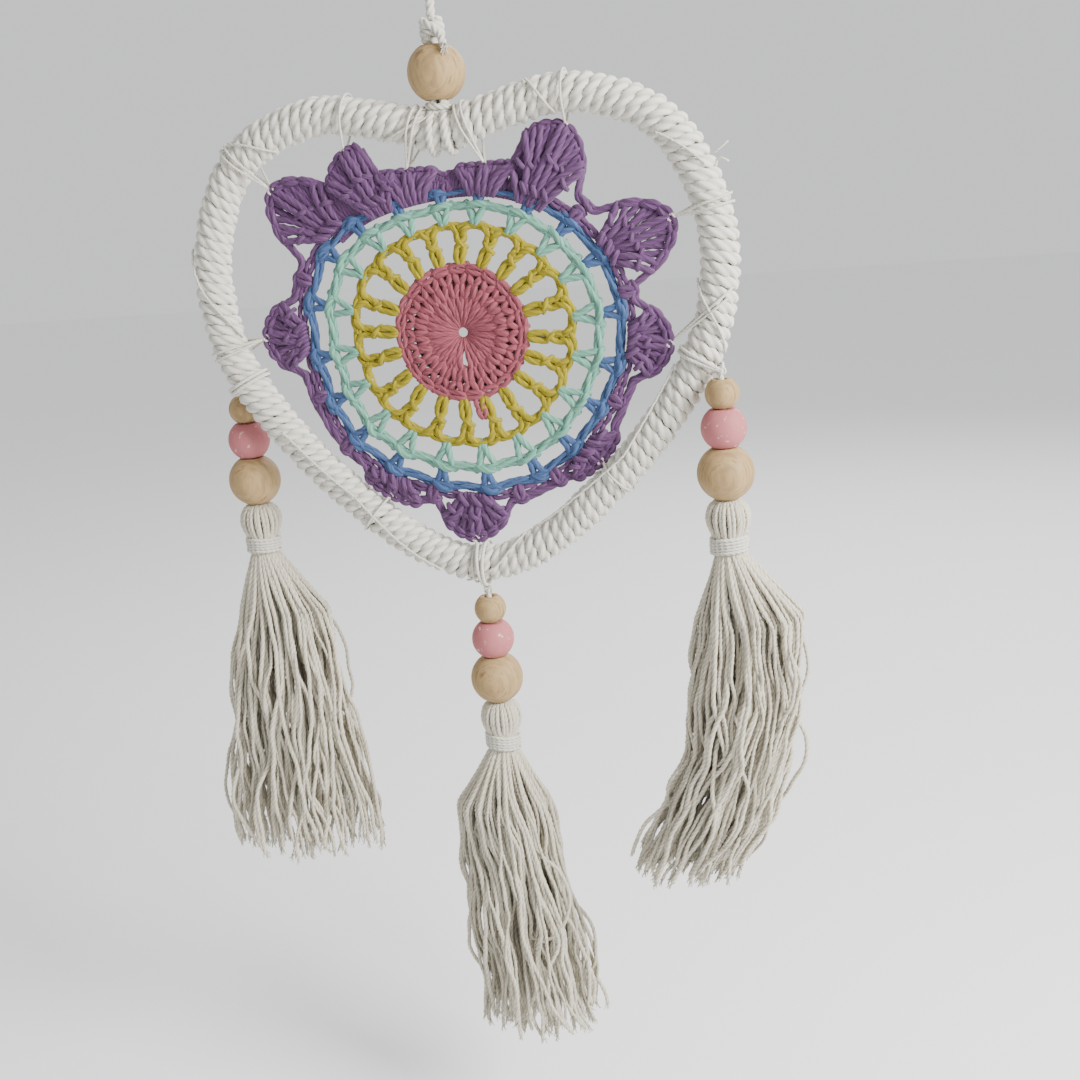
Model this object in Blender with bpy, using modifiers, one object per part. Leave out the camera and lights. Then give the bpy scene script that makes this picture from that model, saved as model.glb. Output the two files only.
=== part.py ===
"""Heart-shaped dream catcher: a wire heart wrapped in cotton cord, holding a crochet
web, hung by a knotted cord and bead, with three drops of beads and a tassel each.

World axes: +X to the right, +Y to the back, +Z up. The origin is the inside top of
the hanging loop, so the whole object lies below z = 0. Lengths are in metres.
"""

import math

import bpy
from mathutils import Vector

MM = 0.001
GAP = 0.3 * MM

# Hanging cord, its loop and its bead.
CORD_RADIUS = 1.6 * MM
LOOP_HALF_WIDTH = 8.0 * MM
LOOP_LENGTH = 33.0 * MM
LOOP_KNOT_RADIUS = 3.6 * MM
HANGING_LENGTH = 36.0 * MM
TOP_KNOT_RADIUS = 4.2 * MM
TOP_BEAD_RADIUS = 10.0 * MM
TOP_BEAD_HEIGHT = 18.0 * MM
TOP_BEAD_BORE = 2.3 * MM
BEAD_CORD_RADIUS = 1.9 * MM

# Heart frame: half of the wire's centreline, from the notch round to the tip.
HEART_HALF = [(0, 0), (19, 5), (45, 9), (72, 0), (87, -20), (93, -48), (86, -80),
              (62, -114), (32, -142), (12, -153), (0, -155)]
FRAME_POINTS = 56
SEAM_POINT = 20
RING_RADIUS = 2.5 * MM
WRAP_INNER_RADIUS = 2.9 * MM
WRAP_RADIUS = 7.0 * MM
BEAD_TO_NOTCH = 19.5 * MM

# Crochet web: rounds about its centre, flattened towards the notch.
WEB_BELOW_NOTCH = 69.0 * MM
WEB_THICKNESS = 2.4 * MM
WEB_SIDES = 40
STITCHES = 20
PINK_RADIUS = 25.0 * MM
YELLOW_RADIUS = 41.0 * MM
MINT_RADIUS = 52.0 * MM
BLUE_RADIUS = 60.0 * MM
NOTCH_SQUEEZE = 0.17
NOTCH_BAND = 57.9 * MM
EDGE_CHAIN_RADIUS = 67.0 * MM
SHELLS = [(-95, 74.0), (-46, 69.0), (-6, 76.0), (24, 86.0), (57, 81.0), (76, 80.0),
          (104, 80.0), (119, 75.5), (140, 86.0), (178, 76.0), (240, 69.0)]
TIE_SLANT = {-6: (0, 9.0 * MM)}
SHELL_HALF_ANGLE = 13.0
EYELET_RADIUS = 1.6 * MM
EYELET_RIM = 2.0 * MM
THREAD_RADIUS = 0.5 * MM

# Drops: beads and tassels, measured down from the point they swing on.
DROP_TIE_RADIUS = 0.6 * MM
DROP_KNOT_RADIUS = 1.3 * MM
DROP_CORD_RADIUS = 1.3 * MM
SMALL_BEAD = (6.0 * MM, 10.0 * MM, 1.8 * MM)
PINK_BEAD = (8.0 * MM, 13.3 * MM, 1.8 * MM)
LARGE_BEAD = (10.0 * MM, 18.0 * MM, 2.7 * MM)
FIRST_BEAD_DOWN = 7.6 * MM
HEAD_RADIUS = 8.2 * MM
HEAD_HEIGHT = 12.5 * MM
NECK_RADIUS = 5.8 * MM
BINDING_RADIUS = 7.2 * MM
BINDING_HEIGHT = 7.5 * MM
SIDE_DROP_X = 92.0 * MM
SIDE_DROP_Y = 7.5 * MM
SIDE_DROP_BELOW_NOTCH = 86.4 * MM
LEFT_SKIRT_LENGTH = 125.0 * MM
RIGHT_SKIRT_LENGTH = 114.0 * MM
BOTTOM_SKIRT_LENGTH = 118.0 * MM

LOOP_KNOT_Z = -(LOOP_LENGTH + GAP + LOOP_KNOT_RADIUS + CORD_RADIUS)
CORD_TOP_Z = LOOP_KNOT_Z - LOOP_KNOT_RADIUS - GAP
TOP_KNOT_Z = CORD_TOP_Z - HANGING_LENGTH - GAP - TOP_KNOT_RADIUS
TOP_BEAD_Z = TOP_KNOT_Z - TOP_KNOT_RADIUS - GAP - TOP_BEAD_HEIGHT / 2
NOTCH_Z = TOP_BEAD_Z - BEAD_TO_NOTCH
WEB_Z = NOTCH_Z - WEB_BELOW_NOTCH
TIP_Z = NOTCH_Z + HEART_HALF[-1][1] * MM

UP = Vector((0, 0, 1))
BACK = Vector((0, 1, 0))


def start_clean():
    for item in list(bpy.data.objects):
        bpy.data.objects.remove(item, do_unlink=True)


def new_collection(name):
    collection = bpy.data.collections.new(name)
    bpy.context.scene.collection.children.link(collection)
    return collection


def material(name, colour, roughness, metallic=0.0):
    made = bpy.data.materials.new(name)
    made.use_nodes = True
    shader = made.node_tree.nodes["Principled BSDF"]
    shader.inputs["Base Color"].default_value = (*colour, 1.0)
    shader.inputs["Roughness"].default_value = roughness
    shader.inputs["Metallic"].default_value = metallic
    made.diffuse_color = (*colour, 1.0)
    return made


def add_object(name, data, surface, location=(0, 0, 0)):
    made = bpy.data.objects.new(name, data)
    made.location = location
    made.data.materials.append(surface)
    PARTS.objects.link(made)
    return made


# Shapes shared by several pieces.

def tube(name, points, radius, surface, closed=False, capped=True, sides=8):
    """A round tube along points; radius is one number or one for each point."""
    curve = bpy.data.curves.new(name, "CURVE")
    curve.dimensions = "3D"
    curve.bevel_depth = 1.0 if isinstance(radius, list) else radius
    curve.bevel_resolution = (sides - 4) // 2
    curve.use_fill_caps = capped and not closed
    spline = curve.splines.new("POLY")
    spline.points.add(len(points) - 1)
    for number, (point, place) in enumerate(zip(spline.points, points)):
        point.co = (*place, 1.0)
        if isinstance(radius, list):
            point.radius = radius[number]
    spline.use_cyclic_u = closed
    return add_object(name, curve, surface)


def flat_piece(name, outlines, thickness, surface, location):
    """A flat piece in the XZ plane; outlines are lists of (x, z), holes included."""
    curve = bpy.data.curves.new(name, "CURVE")
    curve.dimensions = "2D"
    curve.fill_mode = "BOTH"
    curve.extrude = thickness / 2
    for outline in outlines:
        spline = curve.splines.new("POLY")
        spline.points.add(len(outline) - 1)
        for point, (x, z) in zip(spline.points, outline):
            point.co = (x, z, 0, 1)
        spline.use_cyclic_u = True
    made = add_object(name, curve, surface, location)
    made.rotation_euler = (math.pi / 2, 0, 0)
    return made


def turned(name, profile, surface, location, steps=14):
    """A turned solid from a profile of (radius, height), outer side top to bottom."""
    mesh = bpy.data.meshes.new(name)
    points = [(radius, 0, height) for radius, height in profile]
    closes = profile[0][0] > 0
    edges = [(number, number + 1) for number in range(len(points) - 1)]
    if closes:
        edges.append((len(points) - 1, 0))
    mesh.from_pydata(points, edges, [])
    made = add_object(name, mesh, surface, location)
    screw = made.modifiers.new("Turn", "SCREW")
    screw.steps = steps
    screw.render_steps = steps
    screw.use_merge_vertices = True
    screw.merge_threshold = 0.00001
    return made


def ball(name, radius, surface, location):
    half_turn = [math.radians(angle) for angle in range(90, -91, -30)]
    profile = [(radius * math.cos(turn), radius * math.sin(turn)) for turn in half_turn]
    profile[0] = (0, radius)
    profile[-1] = (0, -radius)
    return turned(name, profile, surface, location, steps=12)


def bead(name, size, surface, location):
    """A wooden bead: a rounded outer side and a straight bore."""
    radius, height, bore = size
    bore_turn = math.acos(bore / radius)
    dome = height / 2 / math.sin(bore_turn)
    turns = [bore_turn * (1 - step / 4) for step in range(9)]
    profile = [(radius * math.cos(turn), dome * math.sin(turn)) for turn in turns]
    return turned(name, profile, surface, location)


def smooth_path(points, closed, count):
    """Points spaced evenly along a Catmull-Rom curve through the given points."""
    corners = [Vector(point) for point in points]
    total = len(corners)
    spans = total if closed else total - 1
    fine = []
    for span in range(spans):
        if closed:
            four = [corners[(span + step) % total] for step in (-1, 0, 1, 2)]
        else:
            four = [corners[min(max(span + step, 0), total - 1)] for step in (-1, 0, 1, 2)]
        for step in range(40):
            fine.append(catmull_rom(four, step / 40))
    fine.append(corners[0] if closed else corners[-1])
    lengths = [0.0]
    for before, after in zip(fine, fine[1:]):
        lengths.append(lengths[-1] + (after - before).length)
    pieces = count if closed else count - 1
    placed = []
    at = 0
    for number in range(count):
        wanted = lengths[-1] * number / pieces
        while at < len(fine) - 2 and lengths[at + 1] < wanted:
            at += 1
        share = (wanted - lengths[at]) / (lengths[at + 1] - lengths[at])
        placed.append(fine[at].lerp(fine[at + 1], min(share, 1.0)))
    return placed


def catmull_rom(four, share):
    before, start, end, after = four
    straight = (end - before) * share
    bend = (2 * before - 5 * start + 4 * end - after) * share ** 2
    twist = (3 * start - before - 3 * end + after) * share ** 3
    return start + 0.5 * (straight + bend + twist)


def belt(centre_a, radius_a, centre_b, radius_b, sideways=BACK):
    """A closed loop drawn tight round two circles, in the plane of both and sideways."""
    along = centre_b - centre_a
    distance = along.length
    along = along.normalized()
    across = (sideways - along * sideways.dot(along)).normalized()
    tangent_turn = math.acos((radius_a - radius_b) / distance)
    points = []
    for step in range(10):
        turn = tangent_turn + (2 * math.pi - 2 * tangent_turn) * step / 9
        points.append(centre_a + radius_a * (along * math.cos(turn) + across * math.sin(turn)))
    for step in range(5):
        turn = -tangent_turn + 2 * tangent_turn * step / 4
        points.append(centre_b + radius_b * (along * math.cos(turn) + across * math.sin(turn)))
    return points


# Hanging cord: a loop and its knot, the cord, a knot on the bead, and the hitch below it.

def hanging_cord():
    middle = LOOP_LENGTH - LOOP_HALF_WIDTH
    loop_points = []
    for step in range(9):
        turn = math.pi * step / 8
        reach = LOOP_HALF_WIDTH
        height = CORD_RADIUS - reach + reach * math.sin(turn)
        loop_points.append(Vector((reach * math.cos(turn), 0, height)))
    for share in (0.35, 0.7):
        width = LOOP_HALF_WIDTH * (1 - share ** 2)
        loop_points.append(Vector((-width, 0, -LOOP_HALF_WIDTH - middle * share)))
    loop_points.append(Vector((0, 0, -LOOP_LENGTH)))
    for share in (0.7, 0.35):
        width = LOOP_HALF_WIDTH * (1 - share ** 2)
        loop_points.append(Vector((width, 0, -LOOP_HALF_WIDTH - middle * share)))
    tube("hanging_loop", loop_points, CORD_RADIUS, COTTON, closed=True)
    ball("loop_knot", LOOP_KNOT_RADIUS, COTTON, (0, 0, LOOP_KNOT_Z))
    route = []
    for step in range(7):
        route.append(Vector((0, 0, CORD_TOP_Z - HANGING_LENGTH * step / 6)))
    tube("hanging_cord", route, CORD_RADIUS, COTTON)
    ball("top_knot", TOP_KNOT_RADIUS, COTTON, (0, 0, TOP_KNOT_Z))
    size = (TOP_BEAD_RADIUS, TOP_BEAD_HEIGHT, TOP_BEAD_BORE)
    bead("top_bead", size, WOOD, (0, 0, TOP_BEAD_Z))


def hitch():
    """The doubled cord inside the top bead, and its loop round the frame's notch."""
    hitch_radius = WRAP_RADIUS + GAP + CORD_RADIUS
    hitch_top = NOTCH_Z + hitch_radius + CORD_RADIUS
    cord_top = TOP_KNOT_Z - TOP_KNOT_RADIUS - GAP
    ends = [Vector((0, 0, cord_top)), Vector((0, 0, hitch_top + GAP))]
    tube("bead_cord", ends, BEAD_CORD_RADIUS, COTTON)
    ring = []
    for step in range(16):
        turn = math.tau * step / 16
        place = (0, hitch_radius * math.sin(turn), hitch_radius * math.cos(turn))
        ring.append(Vector(place) + UP * NOTCH_Z)
    tube("hitch_cord", ring, CORD_RADIUS, COTTON, closed=True)


# Heart frame: the wire and its two lengths of wrapping, which meet on the lower sides.

def heart_centreline():
    right = [Vector((x * MM, 0, NOTCH_Z + z * MM)) for x, z in HEART_HALF]
    left = [Vector((-point.x, 0, point.z)) for point in right[-2:0:-1]]
    return smooth_path(right + left, True, FRAME_POINTS)


def frame(centreline):
    tube("heart_ring", centreline, RING_RADIUS, WIRE, closed=True)
    lower = centreline[SEAM_POINT + 1:FRAME_POINTS - SEAM_POINT]
    upper = centreline[FRAME_POINTS - SEAM_POINT:] + centreline[:SEAM_POINT + 1]
    for name, run, others in (("frame_wrap_upper", upper, lower),
                              ("frame_wrap_lower", lower, upper)):
        ends = []
        for end, other in ((run[0], others[-1]), (run[-1], others[0])):
            half_way = (other - end) / 2
            ends.append(end + half_way - half_way.normalized() * GAP / 2)
        sleeve = tube(name, [ends[0]] + run + [ends[1]], WRAP_RADIUS, COTTON, capped=False)
        shell = sleeve.modifiers.new("Wrap thickness", "SOLIDIFY")
        shell.thickness = WRAP_RADIUS - WRAP_INNER_RADIUS
        shell.offset = -1


def nearest_on(centreline, place):
    """The point of the frame's centreline nearest to a place, measured in the XZ plane."""
    best = None
    flat = Vector((place.x, 0, place.z))
    for start, end in zip(centreline, centreline[1:] + centreline[:1]):
        along = end - start
        share = min(max((flat - start).dot(along) / along.length_squared, 0), 1)
        point = start + along * share
        if best is None or (point - flat).length < (best - flat).length:
            best = point
    return best


# Crochet web: five rounds nested in one another, with openings between the stitches.

def polar(angle, radius):
    turn = math.radians(angle)
    return (radius * math.cos(turn), radius * math.sin(turn))


def web_radius(angle, radius):
    """A round's radius at an angle: outer rounds are flattened under the notch."""
    off_top = (angle - 90 + 180) % 360 - 180
    squeeze = NOTCH_SQUEEZE * max(radius - PINK_RADIUS, 0) / (BLUE_RADIUS - PINK_RADIUS)
    return radius * (1 - squeeze * math.exp(-(off_top / 38) ** 2))


def round_outline(radius, gap=0.0):
    angles = [360 * step / WEB_SIDES for step in range(WEB_SIDES)]
    return [polar(angle, web_radius(angle, radius) + gap) for angle in angles]


def stitch_openings(inner, outer, width, turn=0.0):
    """Rounded openings between the stitches of a round; width is their share of it."""
    openings = []
    pitch = 360 / STITCHES
    for stitch in range(STITCHES):
        middle = pitch * (stitch + turn)
        half = pitch * width / 2
        corners = [(-1, 0.2), (-0.6, 0), (0.6, 0), (1, 0.2), (1, 0.8), (0.6, 1), (-0.6, 1),
                   (-1, 0.8)]
        opening = []
        for side, depth in corners:
            angle = middle + side * half
            low = web_radius(angle, inner)
            high = web_radius(angle, outer)
            opening.append(polar(angle, low + (high - low) * depth))
        openings.append(opening)
    return openings


def edge_radius(angle):
    """The web's outer edge: a chain between shells, a point on each shell."""
    radius = EDGE_CHAIN_RADIUS
    for shell, reach in SHELLS:
        off = abs((angle - shell + 180) % 360 - 180)
        if off < SHELL_HALF_ANGLE:
            rise = math.cos(math.radians(90 * off / SHELL_HALF_ANGLE))
            radius = max(radius, EDGE_CHAIN_RADIUS + (reach * MM - EDGE_CHAIN_RADIUS) * rise)
    upward = math.sin(math.radians(angle))
    if upward > 0.8 and abs((angle - 90 + 180) % 360 - 180) < 24:
        radius = min(radius, NOTCH_BAND / upward)
    return radius


def shell_fixing(centreline, shell):
    """Where a shell is tied: its rim, its eyelet and the anchor on the frame's centreline."""
    x, z = polar(shell, edge_radius(shell) - EYELET_RIM / 2)
    rim = Vector((x, 0, WEB_Z + z))
    aside, above = TIE_SLANT.get(shell, (0, 0))
    nearest = nearest_on(centreline, rim)
    anchor = nearest_on(centreline, nearest + Vector((aside, 0, above)))
    slant = (rim - anchor).length / (rim - nearest).length
    inward = (rim - anchor).normalized()
    eyelet = rim + inward * (EYELET_RIM / 2 + EYELET_RADIUS)
    return rim, eyelet, anchor, slant


def web(centreline):
    place = (0, 0, WEB_Z)
    pink_centre = [polar(angle, 1.5 * MM) for angle in range(0, 360, 45)]
    flat_piece("web_round_pink", [round_outline(PINK_RADIUS), pink_centre],
               WEB_THICKNESS, PINK_YARN, place)
    rounds = [("web_round_yellow", PINK_RADIUS, YELLOW_RADIUS, 28.5, 36.5, 0.56, YELLOW_YARN),
              ("web_round_mint", YELLOW_RADIUS, MINT_RADIUS, 43.4, 49.6, 0.6, MINT_YARN),
              ("web_round_blue", MINT_RADIUS, BLUE_RADIUS, 54.2, 57.8, 0.56, BLUE_YARN)]
    for name, inner, outer, low, high, width, yarn in rounds:
        outlines = [round_outline(outer), round_outline(inner, GAP)]
        outlines += stitch_openings(low * MM, high * MM, width, 0.25)
        flat_piece(name, outlines, WEB_THICKNESS, yarn, place)
    edge = [polar(angle, edge_radius(angle)) for angle in range(0, 360, 4)]
    outlines = [edge, round_outline(BLUE_RADIUS, GAP)]
    for shell, reach in SHELLS:
        rim, hole, anchor, slant = shell_fixing(centreline, shell)
        eyelet = []
        for step in range(8):
            x, z = polar(45 * step, EYELET_RADIUS)
            eyelet.append((hole.x + x, hole.z - WEB_Z + z))
        outlines.append(eyelet)
    ordered = sorted(shell for shell, reach in SHELLS)
    for shell, following in zip(ordered, ordered[1:] + [ordered[0] + 360]):
        apart = following - shell
        if apart < 28:
            continue
        middle = (shell + following) / 2
        half = apart / 2 - 9
        opening = []
        for side in (-1, -0.5, 0, 0.5, 1):
            angle = middle + side * half
            opening.append(polar(angle, web_radius(angle, BLUE_RADIUS) + 2 * MM))
        for side in (0.7, 0, -0.7):
            angle = middle + side * half
            opening.append(polar(angle, edge_radius(angle) - 2 * MM))
        outlines.append(opening)
    flat_piece("web_round_purple", outlines, WEB_THICKNESS, PURPLE_YARN, place)


def web_ties(centreline):
    """Thread loops that hold each shell of the web to the frame."""
    rim_radius = WEB_THICKNESS / 2 + THREAD_RADIUS + 3 * GAP
    for number, (shell, reach) in enumerate(SHELLS, start=1):
        rim, eyelet, anchor, slant = shell_fixing(centreline, shell)
        grip = WRAP_RADIUS * slant + THREAD_RADIUS + 2 * GAP
        tube(f"web_tie_{number:02d}", belt(anchor, grip, rim, rim_radius), THREAD_RADIUS,
             COTTON, closed=True)


# Drops: a tie on the frame, its knot, a cord with three beads, and a tassel.

def skirt(name, top, length, spine, widths, depth):
    """A tassel's skirt: spine is its sideways offsets, widths its half widths, in mm."""
    straight = 3 * MM
    points = [Vector((0, 0, 0))]
    for number, offset in enumerate(spine):
        share = number / (len(spine) - 1)
        points.append(Vector((offset * MM, 0, -straight - (length - straight) * share)))
    radii = [NECK_RADIUS] + [width * MM for width in widths]
    made = tube(name, points, radii, TASSEL, sides=12)
    made.location = top
    made.scale = (1, depth, 1)
    return made


def drop(side, hang, tie_points, skirt_length, spine, widths, depth):
    x, y, z = hang
    tube(f"{side}_tie", tie_points, DROP_TIE_RADIUS, COTTON, closed=True)
    ball(f"{side}_knot", DROP_KNOT_RADIUS, COTTON, hang)
    small_z = z - FIRST_BEAD_DOWN
    pink_z = small_z - SMALL_BEAD[1] / 2 - GAP - PINK_BEAD[1] / 2
    large_z = pink_z - PINK_BEAD[1] / 2 - GAP - LARGE_BEAD[1] / 2
    head_z = large_z - LARGE_BEAD[1] / 2 - GAP
    bead(f"{side}_small_bead", SMALL_BEAD, WOOD, (x, y, small_z))
    bead(f"{side}_pink_bead", PINK_BEAD, PINK_PAINT, (x, y, pink_z))
    bead(f"{side}_large_bead", LARGE_BEAD, WOOD, (x, y, large_z))
    cord_end = head_z - HEAD_HEIGHT / 2
    ends = [Vector((x, y, z - DROP_KNOT_RADIUS - GAP)), Vector((x, y, cord_end))]
    tube(f"{side}_cord", ends, DROP_CORD_RADIUS, COTTON)
    socket = DROP_CORD_RADIUS + GAP
    neck_end = -HEAD_HEIGHT - BINDING_HEIGHT
    head_profile = [(socket, 0), (0.5 * HEAD_RADIUS, -0.6 * MM),
                    (0.86 * HEAD_RADIUS, -0.24 * HEAD_HEIGHT), (HEAD_RADIUS, -0.55 * HEAD_HEIGHT),
                    (0.93 * HEAD_RADIUS, -0.85 * HEAD_HEIGHT), (NECK_RADIUS, -HEAD_HEIGHT),
                    (NECK_RADIUS, neck_end), (0, neck_end)]
    socket_floor = -HEAD_HEIGHT / 2 - GAP
    head_profile = [(0, socket_floor), (socket, socket_floor)] + head_profile
    turned(f"{side}_tassel_head", head_profile, TASSEL, (x, y, head_z))
    binding_top = head_z - HEAD_HEIGHT - GAP
    inner = NECK_RADIUS + GAP
    binding_profile = [(inner, 0), (BINDING_RADIUS, 0), (BINDING_RADIUS, -BINDING_HEIGHT + GAP),
                       (inner, -BINDING_HEIGHT + GAP)]
    turned(f"{side}_tassel_binding", binding_profile, COTTON, (x, y, binding_top))
    skirt_top = (x, y, head_z + neck_end - GAP)
    skirt(f"{side}_tassel_skirt", skirt_top, skirt_length, spine, widths, depth)


def drops(centreline):
    side_z = NOTCH_Z - SIDE_DROP_BELOW_NOTCH
    tie_grip = WRAP_RADIUS + DROP_TIE_RADIUS + 0.6 * MM
    knot_grip = DROP_KNOT_RADIUS + DROP_TIE_RADIUS + 1.1 * MM
    left = Vector((-SIDE_DROP_X, SIDE_DROP_Y, side_z))
    right = Vector((SIDE_DROP_X, -SIDE_DROP_Y, side_z))
    for side, hang in (("left", left), ("right", right)):
        anchor = nearest_on(centreline, hang)
        forward = nearest_on(centreline, hang + UP * 5 * MM) - anchor
        sideways = forward.cross(hang - anchor)
        tie = belt(anchor, tie_grip, hang, knot_grip, sideways)
        if side == "left":
            spine = [0, 3, 1.5, 0.5, 0.5, 0.5]
            widths = [8, 17, 21.5, 25.5, 29, 31]
            drop(side, hang, tie, LEFT_SKIRT_LENGTH, spine, widths, 0.62)
        else:
            spine = [0, 6, 4, 2, -6, -19]
            widths = [8, 17.5, 19.5, 20.5, 22.5, 21]
            drop(side, hang, tie, RIGHT_SKIRT_LENGTH, spine, widths, 0.75)
    tip = Vector((0, 0, TIP_Z))
    ring_radius = tie_grip + 0.3 * MM
    ring = []
    for step in range(14):
        turn = math.tau * step / 14
        ring.append(tip + Vector((0, math.sin(turn), math.cos(turn))) * ring_radius)
    hang = tip - UP * (ring_radius + DROP_TIE_RADIUS + GAP + DROP_KNOT_RADIUS)
    drop("bottom", hang, ring, BOTTOM_SKIRT_LENGTH, [0, -2, 0, 1.5, 3.5, 4],
         [8, 17, 19.5, 21, 23, 24], 0.75)


start_clean()
PARTS = new_collection("dream_catcher")
COTTON = material("cotton_cord", (0.80, 0.78, 0.70), 0.9)
TASSEL = material("tassel_cotton", (0.82, 0.78, 0.66), 0.95)
WIRE = material("steel_wire", (0.45, 0.45, 0.46), 0.35, 1.0)
WOOD = material("natural_wood", (0.62, 0.47, 0.27), 0.6)
PINK_PAINT = material("pink_painted_wood", (0.72, 0.36, 0.38), 0.6)
PINK_YARN = material("pink_yarn", (0.58, 0.18, 0.24), 0.9)
YELLOW_YARN = material("yellow_yarn", (0.52, 0.44, 0.02), 0.9)
MINT_YARN = material("mint_yarn", (0.36, 0.62, 0.52), 0.9)
BLUE_YARN = material("blue_yarn", (0.14, 0.27, 0.50), 0.9)
PURPLE_YARN = material("purple_yarn", (0.32, 0.16, 0.38), 0.9)

CENTRELINE = heart_centreline()
hanging_cord()
hitch()
frame(CENTRELINE)
web(CENTRELINE)
web_ties(CENTRELINE)
drops(CENTRELINE)
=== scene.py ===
import math
import random

import bpy
import numpy as np
from mathutils import Matrix, Vector


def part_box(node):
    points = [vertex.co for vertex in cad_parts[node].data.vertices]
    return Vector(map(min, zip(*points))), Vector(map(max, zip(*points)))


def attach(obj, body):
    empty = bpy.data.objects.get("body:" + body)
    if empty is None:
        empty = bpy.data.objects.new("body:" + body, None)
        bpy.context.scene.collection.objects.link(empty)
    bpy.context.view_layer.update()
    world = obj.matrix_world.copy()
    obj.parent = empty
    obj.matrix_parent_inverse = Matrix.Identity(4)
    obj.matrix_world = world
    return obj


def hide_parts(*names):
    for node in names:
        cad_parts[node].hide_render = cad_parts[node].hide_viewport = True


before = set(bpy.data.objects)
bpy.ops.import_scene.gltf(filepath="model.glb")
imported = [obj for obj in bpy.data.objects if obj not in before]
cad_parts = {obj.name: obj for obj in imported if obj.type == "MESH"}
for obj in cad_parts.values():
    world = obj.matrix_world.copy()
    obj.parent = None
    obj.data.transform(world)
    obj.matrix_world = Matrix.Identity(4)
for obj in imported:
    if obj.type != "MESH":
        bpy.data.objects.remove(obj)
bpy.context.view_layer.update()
MM = 0.001


# Viewpoint. A camera a little above and to the right of the hanging heart, about half
# a metre away and held with a slight roll.
AIM = Vector((0.0217, 0.0, -0.2628))
AZIMUTH = math.radians(13.9)
ELEVATION = math.radians(15.5)
ROLL = math.radians(5.1)
DISTANCE = 0.494
LENS_MM = 44.5

forward = Vector((-math.sin(AZIMUTH) * math.cos(ELEVATION),
                  math.cos(AZIMUTH) * math.cos(ELEVATION), -math.sin(ELEVATION)))
level = Vector((math.cos(AZIMUTH), math.sin(AZIMUTH), 0))
rightward = level * math.cos(ROLL) - level.cross(forward) * math.sin(ROLL)
upward = rightward.cross(forward)


def placed(name, data):
    """A new object that holds data, linked into the scene."""
    made = bpy.data.objects.new(name, data)
    bpy.context.collection.objects.link(made)
    return made


camera = placed("camera", bpy.data.cameras.new("camera"))
camera.data.lens = LENS_MM
camera.data.clip_start = 0.01
facing = Matrix((rightward, upward, -forward)).transposed().to_4x4()
camera.matrix_world = Matrix.Translation(AIM - forward * DISTANCE) @ facing
bpy.context.scene.camera = camera


# Studio. A plain pale floor well below the tassels, and soft light from large lamps:
# the key is near and on the right, so the left side falls into a soft shade.
FLOOR_Z = -0.52
FLOOR_REACH = 4
SKY_COLOUR = (0.98, 0.99, 1.0, 1)
SKY_STRENGTH = 0.9


class Socket:
    """One output of a material's nodes; arithmetic on it adds Math nodes."""

    def __init__(self, tree, output):
        self.tree = tree
        self.output = output

    def math(self, operation, first, second):
        node = self.tree.nodes.new("ShaderNodeMath")
        node.operation = operation
        for number, value in enumerate((first, second)):
            if isinstance(value, Socket):
                self.tree.links.new(value.output, node.inputs[number])
            else:
                node.inputs[number].default_value = value
        return Socket(self.tree, node.outputs[0])

    def __add__(self, other):
        return self.math("ADD", self, other)

    def __sub__(self, other):
        return self.math("SUBTRACT", self, other)

    def __rsub__(self, other):
        return self.math("SUBTRACT", other, self)

    def __mul__(self, other):
        return self.math("MULTIPLY", self, other)

    __radd__ = __add__
    __rmul__ = __mul__


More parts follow.
